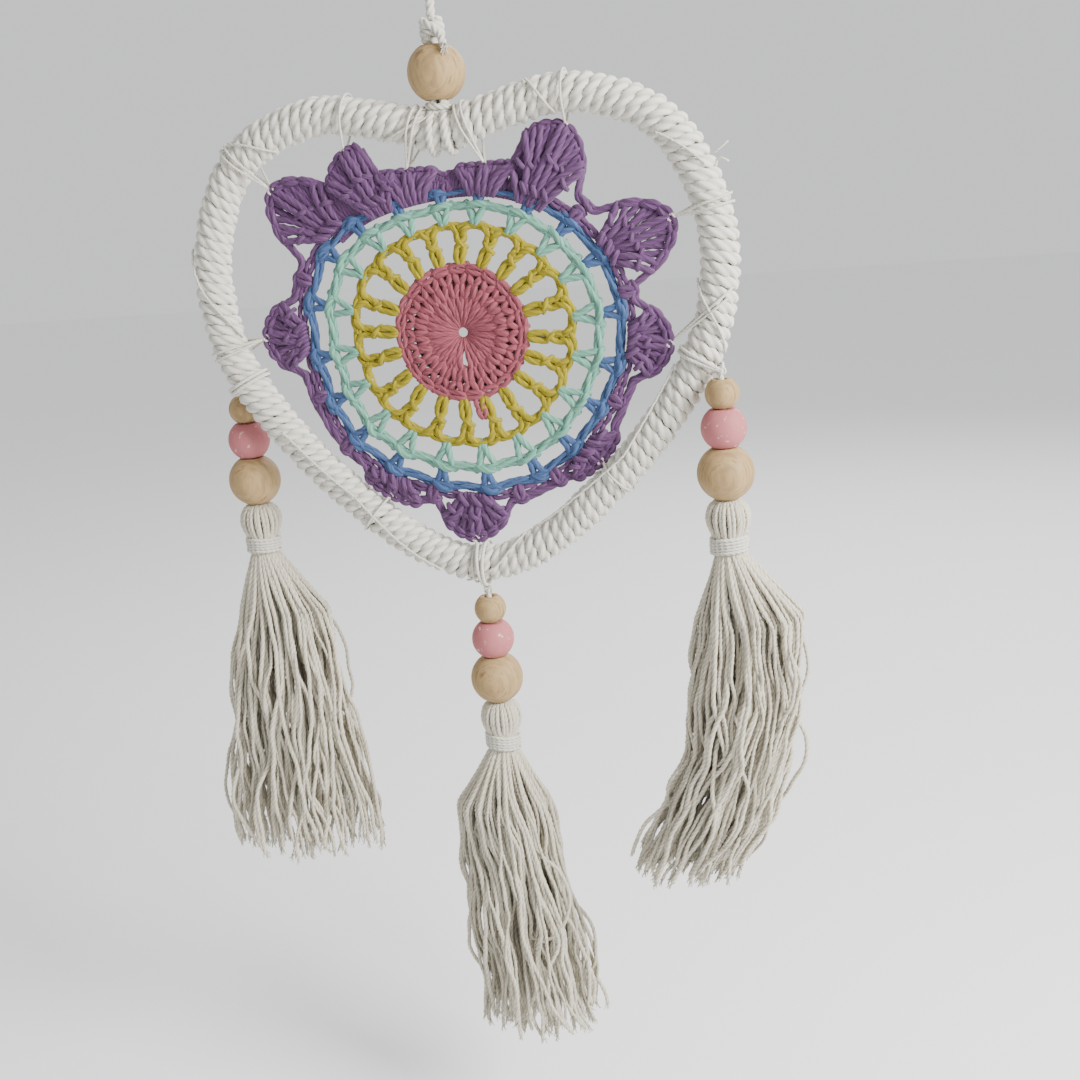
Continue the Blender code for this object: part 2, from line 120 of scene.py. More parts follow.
class Finish:
    """A material being made: its nodes and the shader that they feed."""

    def __init__(self, name, roughness=0.8, sheen=0.0, metallic=0.0):
        self.material = bpy.data.materials.new(name)
        self.material.use_nodes = True
        self.tree = self.material.node_tree
        self.shader = self.tree.nodes["Principled BSDF"]
        self.shader.inputs["Roughness"].default_value = roughness
        self.shader.inputs["Metallic"].default_value = metallic
        self.shader.inputs["Sheen Weight"].default_value = sheen
        self.shader.inputs["Specular IOR Level"].default_value = 0.3

    def node(self, kind, settings=None, values=None, output=0):
        made = self.tree.nodes.new(kind)
        for name, value in (settings or {}).items():
            if name == "stops":
                ramp = made.color_ramp
                while len(ramp.elements) < len(value):
                    ramp.elements.new(0.5)
                for element, (place, colour) in zip(ramp.elements, value):
                    element.position = place
                    element.color = (*colour, 1)
            else:
                setattr(made, name, value)
        self.feed(made, values or {})
        return Socket(self.tree, made.outputs[output])

    def feed(self, node, values):
        for name, value in values.items():
            if isinstance(value, Socket):
                self.tree.links.new(value.output, node.inputs[name])
            else:
                node.inputs[name].default_value = value

    def stored(self, name, number=1):
        """A vector or value that the mesh carries; number 1 is the vector, 2 the value."""
        settings = {"attribute_name": name, "attribute_type": "GEOMETRY"}
        return self.node("ShaderNodeAttribute", settings, output=number)

    def stretched(self, place, scale):
        settings = {"operation": "MULTIPLY"}
        return self.node("ShaderNodeVectorMath", settings, {0: place, 1: scale})

    def noise(self, place, scale, detail=2.0):
        values = {"Vector": place, "Scale": scale, "Detail": detail}
        return self.node("ShaderNodeTexNoise", values=values)

    def blend(self, share, first, second):
        """A mix of two colours; 0, 6 and 7 are Mix's factor and its colour sockets."""
        settings = {"data_type": "RGBA"}
        first = first if isinstance(first, Socket) else (*first, 1)
        second = second if isinstance(second, Socket) else (*second, 1)
        values = {0: share, 6: first, 7: second}
        return self.node("ShaderNodeMix", settings, values, output=2)

    def above_zero(self, value):
        return self.node("ShaderNodeMath", {"operation": "MAXIMUM"}, {0: value, 1: 0.0})

    def ends_in(self, colour, height=None, strength=0.3, distance=0.0003):
        """The finished material: its colour and, where a height is given, its fine relief."""
        self.feed(self.shader, {"Base Color": colour})
        if height is not None:
            values = {"Height": height, "Strength": strength, "Distance": distance}
            bump = self.node("ShaderNodeBump", values=values)
            self.feed(self.shader, {"Normal": bump})
        return self.material


def pale_floor():
    paint = Finish("pale_floor", roughness=0.9)
    speckle = paint.noise(paint.node("ShaderNodeNewGeometry"), 30)
    return paint.ends_in(paint.blend(speckle, (0.93, 0.93, 0.93), (0.95, 0.95, 0.95)))


floor_mesh = bpy.data.meshes.new("floor")
corners = [(x * FLOOR_REACH, y * FLOOR_REACH, FLOOR_Z)
           for x, y in ((-1, -1), (1, -1), (1, 1), (-1, 1))]
floor_mesh.from_pydata(corners, [], [(0, 1, 2, 3)])
floor_mesh.materials.append(pale_floor())
placed("floor", floor_mesh)


def soft_light(name, place, size, watts, colour):
    lamp = bpy.data.lights.new(name, "AREA")
    lamp.size = size
    lamp.energy = watts
    lamp.color = colour
    made = placed(name, lamp)
    made.location = place
    made.rotation_euler = (AIM - Vector(place)).to_track_quat("-Z", "Y").to_euler()


soft_light("key_light", (0.62, -0.26, 0.05), 0.30, 13.0, (1.0, 0.99, 0.97))
soft_light("back_light", (0.3, 0.9, 0.4), 0.8, 10.0, (1.0, 1.0, 1.0))
world = bpy.data.worlds.new("studio")
world.use_nodes = True
sky = world.node_tree.nodes["Background"]
sky.inputs["Color"].default_value = SKY_COLOUR
sky.inputs["Strength"].default_value = SKY_STRENGTH
bpy.context.scene.world = world


# Hanging cord. One soft three-ply cotton cord: out of the knot on the top bead, straight
# up to the knot that closes the loop, and round the loop that a hook holds still.
CORD_RADIUS = 1.6 * MM
CORD_PLIES = {"lay": 8 * MM, "sides": 12}
CORD_STEP = 0.55 * MM
KNOT_STEP = 0.5 * MM
LOOP_SHOULDER_Z = -0.023
LOOP_SHOULDER = 0.42
COTTON_LIGHT = (0.74, 0.72, 0.645)
# The second cotton colour is painted shade in the creases between the plies, and also the colour of the
# darker fibre streaks.
COTTON_SHADE_AND_STREAK = (0.30, 0.27, 0.205)
ACROSS_FIBRES = 2600.0


def cotton(name, light, shade_and_streak, streak=0.5):
    """Matt cotton: painted shade between the plies, streaked along its fibres, a little uneven."""
    finish = Finish(name, roughness=0.92, sheen=0.25)
    finish.shader.inputs["Sheen Roughness"].default_value = 0.6
    fibre = finish.stored("fibre")
    groove = finish.stored("groove", 2)
    grain = finish.stretched(fibre, (ACROSS_FIBRES, ACROSS_FIBRES, 260.0))
    streaks = finish.noise(grain, 1.0, 3.0)
    faded = finish.blend(finish.noise(fibre, 90.0), light, [part * 0.9 for part in light])
    # Painted shade: the crease mask darkens the colour between the plies; the streaks add real fibre
    # tone.
    shade = finish.above_zero(groove * 0.55 + (streaks - 0.45) * streak)
    return finish.ends_in(finish.blend(shade, faded, shade_and_streak), streaks, 0.5, 0.25 * MM)


def smooth_line(points, spacing, closed=False):
    """Even steps along a Catmull-Rom curve through points, as rows of an array."""
    knots = np.array([tuple(point) for point in points], dtype=float)
    if closed:
        knots = np.vstack((knots[-1], knots, knots[0], knots[1]))
    else:
        knots = np.vstack((2 * knots[0] - knots[1], knots, 2 * knots[-1] - knots[-2]))
    finely = 12
    steps = np.linspace(0, 1, finely, endpoint=False)[:, None]
    rows = []
    for before, start, end, after in zip(knots, knots[1:], knots[2:], knots[3:]):
        bend = 2 * before - 5 * start + 4 * end - after
        twist = 3 * start - before - 3 * end + after
        rows.append(start + 0.5 * ((end - before) * steps + bend * steps ** 2
                                   + twist * steps ** 3))
    rows.append(knots[-2][None])
    line = np.vstack(rows)
    along = np.concatenate(([0], np.cumsum(np.linalg.norm(np.diff(line, axis=0), axis=1))))
    count = max(int(round(along[-1] / spacing)), 3)
    wanted = np.linspace(0, along[-1], count + 1)
    return np.stack([np.interp(wanted, along, line[:, axis]) for axis in range(3)], axis=1)


class Strands:
    """Yarn, cord or thread laid along lines and gathered into one mesh."""

    def __init__(self):
        self.places, self.quads, self.ends = [], [], []
        self.fibre, self.groove = [], []
        self.count = 0

    def lay(self, line, radius, plies=3, lay=9 * MM, sides=9, lobe=0.3, turn=0.0, ends=0.4):
        """Sweep a lobed section along line; the plies make a full turn in each lay."""
        line = np.asarray(line)
        rings = len(line)
        radii = np.broadcast_to(radius, (rings,))
        ahead = np.gradient(line, axis=0)
        ahead /= np.linalg.norm(ahead, axis=1)[:, None]
        side = np.cross(ahead[0], (0.0, 1.0, 0.13))
        sideways = np.empty_like(line)
        for ring in range(rings):
            side = side - ahead[ring] * side.dot(ahead[ring])
            side = side / math.sqrt(side.dot(side))
            sideways[ring] = side
        across = np.cross(ahead, sideways)
        steps = np.linalg.norm(np.diff(line, axis=0), axis=1)
        along = np.concatenate(([0], np.cumsum(steps)))
        section = math.tau * np.arange(sides) / sides
        crease = 1 - np.abs(np.cos(section * plies / 2))
        reach = 1 - lobe * crease
        widths = radii[:, None] * reach[None]
        angle = section[None] + (turn + math.tau * along / lay)[:, None]
        shift = (np.cos(angle) * widths)[..., None] * sideways[:, None]
        shift = shift + (np.sin(angle) * widths)[..., None] * across[:, None]
        places = (line[:, None] + shift).reshape(-1, 3)
        tips = np.array([line[0] - ahead[0] * radii[0] * ends,
                         line[-1] + ahead[-1] * radii[-1] * ends])
        self.places.append(np.vstack((places, tips)))
        ring = np.arange(rings - 1)[:, None] * sides
        place = np.arange(sides)[None]
        after = (place + 1) % sides
        quads = np.stack((ring + place, ring + after, ring + sides + after,
                          ring + sides + place), axis=-1).reshape(-1, 4)
        self.quads.append(quads + self.count)
        last = (rings - 1) * sides
        first_tip = rings * sides
        closing = [(first_tip, b, a) for a, b in zip(place[0], after[0])]
        closing += [(first_tip + 1, last + a, last + b) for a, b in zip(place[0], after[0])]
        self.ends.append(np.array(closing) + self.count)
        flat = np.stack(np.broadcast_arrays(np.cos(section) * widths, np.sin(section) * widths,
                                            (along + self.count * 1e-4)[:, None]), axis=-1)
        self.fibre.append(np.vstack((flat.reshape(-1, 3), [[0, 0, 0], [0, 0, along[-1]]])))
        # The crease mask marks where painted shade darkens the colour between the plies.
        self.groove.append(np.concatenate((np.tile(crease, rings), [0.6, 0.6])))
        self.count += len(places) + 2

    def piece(self, name, material):
        """One smooth-shaded object made of every strand laid so far."""
        places = np.vstack(self.places)
        quads = np.vstack(self.quads)
        ends = np.vstack(self.ends)
        mesh = bpy.data.meshes.new(name)
        mesh.vertices.add(len(places))
        mesh.vertices.foreach_set("co", places.ravel())
        corners = np.concatenate((quads.ravel(), ends.ravel()))
        mesh.loops.add(len(corners))
        mesh.loops.foreach_set("vertex_index", corners)
        starts = np.concatenate((np.arange(len(quads)) * 4,
                                 len(quads) * 4 + np.arange(len(ends)) * 3))
        mesh.polygons.add(len(starts))
        mesh.polygons.foreach_set("loop_start", starts)
        mesh.update(calc_edges=True)
        mesh.validate()
        mesh.shade_smooth()
        fibre = mesh.attributes.new("fibre", "FLOAT_VECTOR", "POINT")
        fibre.data.foreach_set("vector", np.vstack(self.fibre).ravel())
        # This mask carries the painted crease shade to the materials.
        groove = mesh.attributes.new("groove", "FLOAT", "POINT")
        groove.data.foreach_set("value", np.concatenate(self.groove))
        mesh.materials.append(material)
        return placed(name, mesh)


def corners_of(node):
    low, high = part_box(node)
    return Vector(low), Vector(high)


def middle_of(node):
    low, high = corners_of(node)
    return (low + high) / 2


def fitted(piece, body, slot, *nodes):
    """A finished piece moves with a body and stands for the CAD nodes of the real one."""
    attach(piece, body)
    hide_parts(*nodes)


def scattered(chance, reach=1.0):
    return Vector([chance.uniform(-reach, reach) for _ in range(3)])


def frayed_end(strands, tip, heading, length, chance, radius, count):
    """A cut end: loose fibres fanning out of the tip."""
    tip = Vector(tip)
    ahead = Vector(heading).normalized()
    for _ in range(count):
        way = (ahead + scattered(chance) * 0.45).normalized()
        bend = scattered(chance) * 0.25 * length
        reach = length * chance.uniform(0.6, 1.1)
        line = smooth_line([tip - ahead * radius * 3, tip + way * reach * 0.5 + bend * 0.4,
                            tip + way * reach], 0.7 * MM)
        thin = np.linspace(1, 0.5, len(line)) * radius
        strands.lay(line, thin, plies=2, lay=4 * MM, sides=4, lobe=0.1)


def overhand_knot(strands, middle, size, radius, chance):
    """A pulled-tight overhand knot: a small trefoil with the cord lying on itself."""
    steps = np.linspace(0, math.tau, 90)
    wide = size * (0.60 + 0.34 * np.cos(3 * steps))
    line = np.stack((wide * np.cos(2 * steps), wide * np.sin(2 * steps) * 0.9,
                     size * 0.52 * np.sin(3 * steps)), axis=1)
    tilt = Matrix.Rotation(chance.uniform(0.9, 1.1), 3, "X")
    line = line @ np.array(tilt).T + np.array(middle)
    strands.lay(line, radius, lay=7 * MM, sides=12, lobe=0.3)


COTTON = cotton("cotton_cord", COTTON_LIGHT, COTTON_SHADE_AND_STREAK)
chance = random.Random(11)
knot_middle = middle_of("top_knot")
loop_knot_middle = middle_of("loop_knot")
cord_low, cord_high = corners_of("hanging_cord")
loop_low, loop_high = corners_of("hanging_loop")
loop_wide = loop_high.x - CORD_RADIUS
loop_end = loop_low.z + CORD_RADIUS
route = [(0, 0, cord_low.z), (0.0003, 0, cord_low.z + 0.009), (-0.0002, 0, cord_low.z + 0.018),
         (0, 0, cord_low.z + 0.027), (0, 0, cord_high.z)]
cord_line = smooth_line(route, CORD_STEP)
cord_strand = Strands()
cord_strand.lay(cord_line, CORD_RADIUS, **CORD_PLIES)
hanging_cord = cord_strand.piece("hanging_cord_plied", COTTON)
shoulder = LOOP_SHOULDER * loop_wide
route = [loop_knot_middle, (0.0006, 0.0012, loop_end - 0.002), (shoulder, 0.001, LOOP_SHOULDER_Z)]
for step in range(9):
    turn = math.pi * step / 8
    rise = CORD_RADIUS - loop_wide + loop_wide * math.sin(turn)
    route.append((loop_wide * math.cos(turn), 0, rise))
route += [(-shoulder, -0.001, LOOP_SHOULDER_Z), (-0.0006, -0.0012, loop_end - 0.001)]
loop_strand = Strands()
loop_strand.lay(smooth_line(route, CORD_STEP), CORD_RADIUS, **CORD_PLIES)
hanging_loop = loop_strand.piece("hanging_loop_plied", COTTON)
loop_knot = Strands()
overhand_knot(loop_knot, loop_knot_middle, 3.7 * MM, 1.5 * MM, chance)
loop_knot_piece = loop_knot.piece("loop_knot_tied", COTTON)
top_knot = Strands()
coil_steps = 26
coils = [(0, 0, 4.6), (0.4, 0.6, 3.4)]
for step in range(coil_steps + 1):
    turn = math.tau * step / 10 + 0.4
    wide = 2.5 + 0.6 * math.sin(math.pi * step / coil_steps)
    coils.append((wide * math.cos(turn), wide * math.sin(turn),
                  2.7 - 5.6 * step / coil_steps + 0.5 * math.cos(turn)))
coils += [(0.3, 0.2, -3.2), (0, 0, -4.3)]
coils = [knot_middle + Vector(place) * MM for place in coils]
top_knot.lay(smooth_line(coils, KNOT_STEP), 1.5 * MM, **CORD_PLIES)
tail = [(-2.2, 0.6, 2.6), (-2.4, -2.0, 2.8), (-0.6, -3.9, 1.9), (2.1, -4.2, 0.1),
        (4.0, -4.6, -2.4), (5.2, -6.4, -5.0)]
tail = [knot_middle + Vector(place) * MM for place in tail]
top_knot.lay(smooth_line(tail, KNOT_STEP), 1.45 * MM, **CORD_PLIES)
frayed_end(top_knot, tail[-1], tail[-1] - tail[-2], 4.2 * MM, chance, 0.34 * MM, 22)
top_knot_piece = top_knot.piece("top_knot_tied", COTTON)
fitted(hanging_cord, "line", "cotton_cord", "hanging_cord")
fitted(hanging_loop, "root", "cotton_cord", "hanging_loop")
fitted(loop_knot_piece, "root", "cotton_cord", "loop_knot")
fitted(top_knot_piece, "line_end", "cotton_cord", "top_knot")


# Top bead. Turned from pale softwood and left bare: the end grain opens at both bores,
# rings run round the belly, and the edges of the bore are rounded over.
WOOD_PALE = (0.29, 0.19, 0.088)
WOOD_DARK = (0.17, 0.10, 0.042)
WOOD_WARM = (0.40, 0.27, 0.125)
OBJECT_PLACE = 3


def bare_wood(name):
    """Unpainted wood: long soft rings and fine dark pores, seen through a dull surface."""
    finish = Finish(name, roughness=0.62)
    place = finish.node("ShaderNodeTexCoord", output=OBJECT_PLACE)
    grain = finish.stretched(place, (210.0, 700.0, 60.0))
    rings = finish.noise(grain, 1.0, 4.0)
    pores = finish.noise(finish.stretched(place, (2400.0, 2400.0, 300.0)), 1.0, 3.0)
    ramp = {"stops": [(0.35, WOOD_PALE), (0.56, WOOD_WARM), (0.75, WOOD_DARK)]}
    tone = finish.node("ShaderNodeValToRGB", ramp, {0: rings})
    colour = finish.blend(finish.above_zero((pores - 0.55) * 2.2), tone, WOOD_DARK)
    return finish.ends_in(colour, pores * 0.6 + rings, 0.25, 0.15 * MM)


def painted_wood(name, paint, bare):
    """Thin matt paint on wood: the grain shows through and it has rubbed off in specks."""
    finish = Finish(name, roughness=0.68)
    place = finish.node("ShaderNodeTexCoord", output=OBJECT_PLACE)
    grain = finish.noise(finish.stretched(place, (300.0, 900.0, 90.0)), 1.0, 4.0)
    rubbed = finish.noise(place, 420.0, 5.0)
    worn = finish.node("ShaderNodeMapRange", None, {"Value": rubbed, 1: 0.63, 2: 0.70})
    darker = [part * 0.82 for part in paint]
    colour = finish.blend(worn * 0.7, finish.blend(grain, paint, darker), bare)
    return finish.ends_in(colour, grain, 0.2, 0.15 * MM)


def turned_bead(node, bore, slot, material, chance):
    """Lathe-turned bead filling the box of a CAD bead, with rounded bore edges."""
    low, high = corners_of(node)
    middle = (low + high) / 2
    radius = (high.x - low.x) / 2
    half = (high.z - low.z) / 2
    lip = 0.9 * MM
    mouth = math.asin(min((half - lip * 0.3) / radius, 0.97))
    half_belly = 12
    belly = []
    for step in range(2 * half_belly + 1):
        turn = mouth * (1 - step / half_belly)
        belly.append((radius * math.cos(turn), radius * math.sin(turn)))
    top_radius, top_height = belly[0]
    rounding = [(bore + (top_radius - bore) * (0.5 + 0.5 * math.cos(step * math.pi / 8)),
                 top_height + (half - top_height) * math.sin(step * math.pi / 8))
                for step in range(1, 8)]
    profile = ([(bore, share * half) for share in (-0.4, 0, 0.4, 0.8)] + rounding[::-1] + belly
               + [(out, -height) for out, height in rounding] + [(bore, -0.8 * half)])
    around = 48
    dents = [chance.uniform(-0.012, 0.012) for _ in range(6)]
    places = []
    for reach, height in profile:
        for step in range(around):
            turn = math.tau * step / around
            uneven = 1 + sum(dent * math.cos((number + 1) * turn + 9 * number + height * 150)
                             for number, dent in enumerate(dents)) * 0.5
            out = reach * (uneven if reach > bore * 1.05 else 1)
            places.append(middle + Vector((out * math.cos(turn), out * math.sin(turn), height)))
    faces = []
    for row in range(len(profile)):
        below = (row + 1) % len(profile)
        for step in range(around):
            beside = (step + 1) % around
            faces.append((row * around + step, below * around + step,
                          below * around + beside, row * around + beside))
    mesh = bpy.data.meshes.new(f"{node}_turned")
    mesh.from_pydata(places, [], faces)
    mesh.update()
    mesh.shade_smooth()
    mesh.materials.append(material)
    fitted(placed(f"{node}_turned", mesh), node, slot, node)


WOOD = bare_wood("natural_wood")
turned_bead("top_bead", 2.35 * MM, "natural_wood", WOOD, chance)


# Hitch. The two ends of a cord come down through the bead and are looped round the
# dip of the heart, where they bite into the wrapping.
hitch_middle = middle_of("hitch_cord")
bead_low, bead_high = corners_of("bead_cord")
hitch = Strands()
TUBE_HUG = 6.9 * MM
for side in (-1, 1):
    ring = [(side * 1.1 * MM, -0.0005, bead_high.z - 0.5 * MM),
            (side * 1.1 * MM, -0.0005, bead_low.z + 0.006),
            (side * 1.5 * MM, -0.0010, bead_low.z + 0.0012)]
    for step in range(15):
        turn = math.pi * (0.10 + 1.80 * step / 14)
        aside = side * (1.9 + 1.3 * math.sin(turn / 2)) * MM
        ring.append(hitch_middle + Vector((aside, -TUBE_HUG * math.sin(turn),
                                           TUBE_HUG * math.cos(turn))))
    ring.append((side * 1.2 * MM, 0.0012, bead_low.z + 0.0012))
    hitch.lay(smooth_line(ring, CORD_STEP), 1.45 * MM, **CORD_PLIES)
collar = []
for step in range(31):
    turn = math.radians(24 * step + 60)
    collar.append(hitch_middle + Vector((4.1 * MM * math.cos(turn), 3.3 * MM * math.sin(turn),
                                         (9.6 - 2.3 * step / 15) * MM)))
hitch.lay(smooth_line(collar, KNOT_STEP), 1.25 * MM, lay=7 * MM, sides=12)
hitch_piece = hitch.piece("hitch_tied", COTTON)
fitted(hitch_piece, "heart", "cotton_cord", "bead_cord", "hitch_cord")


# Heart frame. Steel wire bent to a heart and butted at the tip, hidden under one long
# three-ply cotton cord wound round it turn against turn; the plies bulge between turns.
WRAP_CORD_RADIUS = 2.3 * MM
WRAP_CENTRE = 4.75 * MM
WRAP_PITCH = 3.95 * MM
WRAP_STEPS = 26
HEART_HALF = [(0, 0), (19, 5), (45, 9), (72, 0), (87, -20), (93, -48), (86, -80),
              (62, -114), (32, -142), (12, -153), (0, -155)]
notch = hitch_middle
right_side = [Vector((x * MM, 0, notch.z + z * MM)) for x, z in HEART_HALF]
left_side = [Vector((-point.x, 0, point.z)) for point in right_side[-2:0:-1]]
heart_line = smooth_line(right_side + left_side, 0.5 * MM, closed=True)
heart_steps = np.linalg.norm(np.diff(heart_line, axis=0), axis=1)
heart_along = np.concatenate(([0], np.cumsum(heart_steps)))
heart_round = heart_along[-1]


def on_heart(along):
    """The places of the wire's centreline at distances along it, and its headings there."""
    along = np.mod(along, heart_round)
    place = np.stack([np.interp(along, heart_along, heart_line[:, axis]) for axis in range(3)], 1)
    ahead = np.mod(along + 0.5 * MM, heart_round)
    next_place = np.stack([np.interp(ahead, heart_along, heart_line[:, axis])
                           for axis in range(3)], 1)
    heading = next_place - place
    return place, heading / np.linalg.norm(heading, axis=1)[:, None]


def near_heart(place):
    """How far along the wire the point nearest to a place lies."""
    flat = np.array([place[0], 0, place[2]])
    return float(heart_along[np.argmin(np.linalg.norm(heart_line - flat, axis=1))])


wrap_turns = round(heart_round / WRAP_PITCH)
pitch = heart_round / wrap_turns
wrap_cord = Strands()
turn_share = np.arange(wrap_turns * WRAP_STEPS + 1) / WRAP_STEPS
jitter = np.array([chance.uniform(-1, 1) for _ in range(wrap_turns + 2)])
tension = np.array([chance.uniform(-1, 1) for _ in range(wrap_turns + 2)])
jitter[-2:] = jitter[:2]
shake = np.interp(turn_share, np.arange(wrap_turns + 2), jitter)
tight = np.interp(turn_share, np.arange(wrap_turns + 2), tension)
wrap_along = turn_share * pitch + shake * 0.35 * MM
wrap_turn = math.tau * turn_share
wrap_place, wrap_heading = on_heart(wrap_along + 0.9 * MM * np.cos(wrap_turn))
wrap_outward = np.cross(wrap_heading, (0.0, 1.0, 0.0))
wrap_reach = (WRAP_CENTRE + tight * 0.22 * MM)[:, None]
wrap_line = wrap_place + wrap_reach * (np.cos(wrap_turn)[:, None] * wrap_outward
                                       + np.sin(wrap_turn)[:, None] * np.array((0.0, 1.0, 0.0)))
wrap_cord.lay(wrap_line[:-1], WRAP_CORD_RADIUS * (1 + 0.05 * shake[:-1]), lay=14.5 * MM,
              sides=20, lobe=0.29)
wrap = wrap_cord.piece("frame_wrap_cord", COTTON)
fitted(wrap, "heart", "cotton_cord", "frame_wrap_upper", "frame_wrap_lower")


def steel_wire(name):
    """Drawn steel, with faint marks from the die."""
    finish = Finish(name, roughness=0.35, metallic=1.0)
    drawn = finish.noise(finish.node("ShaderNodeTexCoord", output=OBJECT_PLACE), 900.0)
    return finish.ends_in(finish.blend(drawn, (0.42, 0.42, 0.43), (0.30, 0.28, 0.26)), drawn,
                          0.1, 0.0001)


bpy.data.objects["heart_ring"].material_slots[0].material = steel_wire("steel_wire")


# Crochet web, middle round. Rose cotton yarn worked in the round from a small hole: long
# doubled loops, then slanting yarn-overs, then a rim of short chain stitches.
YARN_RADIUS = 1.35 * MM
FINE_YARN = 1.05 * MM
EDGE_YARN = 1.1 * MM
YARN_STEP = 0.6 * MM
YARN_PLIES = {"plies": 4, "lay": 15 * MM, "lobe": 0.24, "sides": 12}
web_middle = middle_of("web_round_pink")
PINK_RADIUS = 25.0
BLUE_RADIUS = 60.0
NOTCH_SQUEEZE = 0.17
NOTCH_ANGLE = 90
GAP_ANGLE = -92
GAP_HALF = 20


def yarn(name, light, shade_and_streak):
    """Smooth cotton yarn: fine plies with a slight lustre, painted shade where they meet."""
    finish = Finish(name, roughness=0.72, sheen=0.12)
    fibre = finish.stored("fibre")
    groove = finish.stored("groove", 2)
    grain = finish.stretched(fibre, (ACROSS_FIBRES, ACROSS_FIBRES, 160.0))
    streaks = finish.noise(grain, 1.0, 3.0)
    faded = finish.blend(finish.noise(fibre, 120.0), light, [part * 0.72 for part in light])
    # Painted shade: the crease mask darkens the colour where the plies meet; the streaks add real fibre
    # tone.
    shade = finish.above_zero(groove * 0.7 + (streaks - 0.44) * 1.3)
    return finish.ends_in(finish.blend(shade, faded, shade_and_streak), streaks, 0.5, 0.2 * MM)


def off_angle(angle, centre):
    """How far an angle lies from a centre, from -180 to 180 degrees."""
    return (angle - centre + 180) % 360 - 180


def web_radius(angle, out):
    """A round's radius at an angle, in mm: the outer rounds are flattened at the top."""
    off_top = off_angle(angle, NOTCH_ANGLE)
    squeeze = NOTCH_SQUEEZE * max(out - PINK_RADIUS, 0) / (BLUE_RADIUS - PINK_RADIUS)
    return out * (1 - squeeze * math.exp(-(off_top / 38) ** 2))


def web_place(angle, out, front):
    """A point of the web: its angle, its distance out from the middle and to the front."""
    turn = math.radians(angle)
    pull = min(out / BLUE_RADIUS, 1.0)
    out = web_radius(angle, out) * (1 + 0.014 * math.sin(5 * turn + 1) * pull) * MM
    front += pull * (0.8 * math.sin(3 * turn + 0.5) + 0.5 * math.sin(7 * turn))
    turn += 0.022 * pull * math.sin(4 * turn + 0.7)
    return web_middle + Vector((out * math.cos(turn), -front * MM, out * math.sin(turn)))


def laid(strands, points, radius, chance, spacing=YARN_STEP):
    """One strand of yarn through points, its plies starting at any turn."""
    strands.lay(smooth_line(points, spacing), radius, turn=chance.uniform(0, 6), **YARN_PLIES)


def worked(strands, angle, steps, radius, chance, loose=0.16):
    """One strand of a stitch through steps of (mm across, mm out, mm to the front)."""
    points = []
    for across, out, front in steps:
        across += chance.uniform(-loose, loose)
        out += chance.uniform(-loose, loose)
        front += chance.uniform(-loose, loose)
        points.append(web_place(angle + math.degrees(across / max(out, 1.0)), out, front))
    laid(strands, points, radius, chance)


def chain_link(strands, start, end, out, wide, radius, chance, front=0.5):
    """One chain stitch lying round the web from start to end, both in degrees."""
    span = end - start
    steps = [(-0.10, 0.0, -0.6), (0.25, 0.9, 0.1), (0.70, 1.0, 0.45), (1.04, 0.55, 0.2),
             (1.14, 0.0, -0.5), (1.04, -0.55, 0.2), (0.70, -1.0, 0.45), (0.25, -0.9, 0.1),
             (-0.10, -0.1, -0.6)]
    points = []
    for share, beside, rise in steps:
        beside = beside * wide + chance.uniform(-0.12, 0.12)
        points.append(web_place(start + span * share, out + beside, front + rise))
    laid(strands, points, radius, chance)


def web_round(strands, colour, material):
    """A finished round: it moves with the heart and stands for the CAD round."""
    made = strands.piece(f"web_{colour}_stitches", material)
    fitted(made, "heart", f"{colour}_yarn", f"web_round_{colour}")


PINK_STITCHES = 23
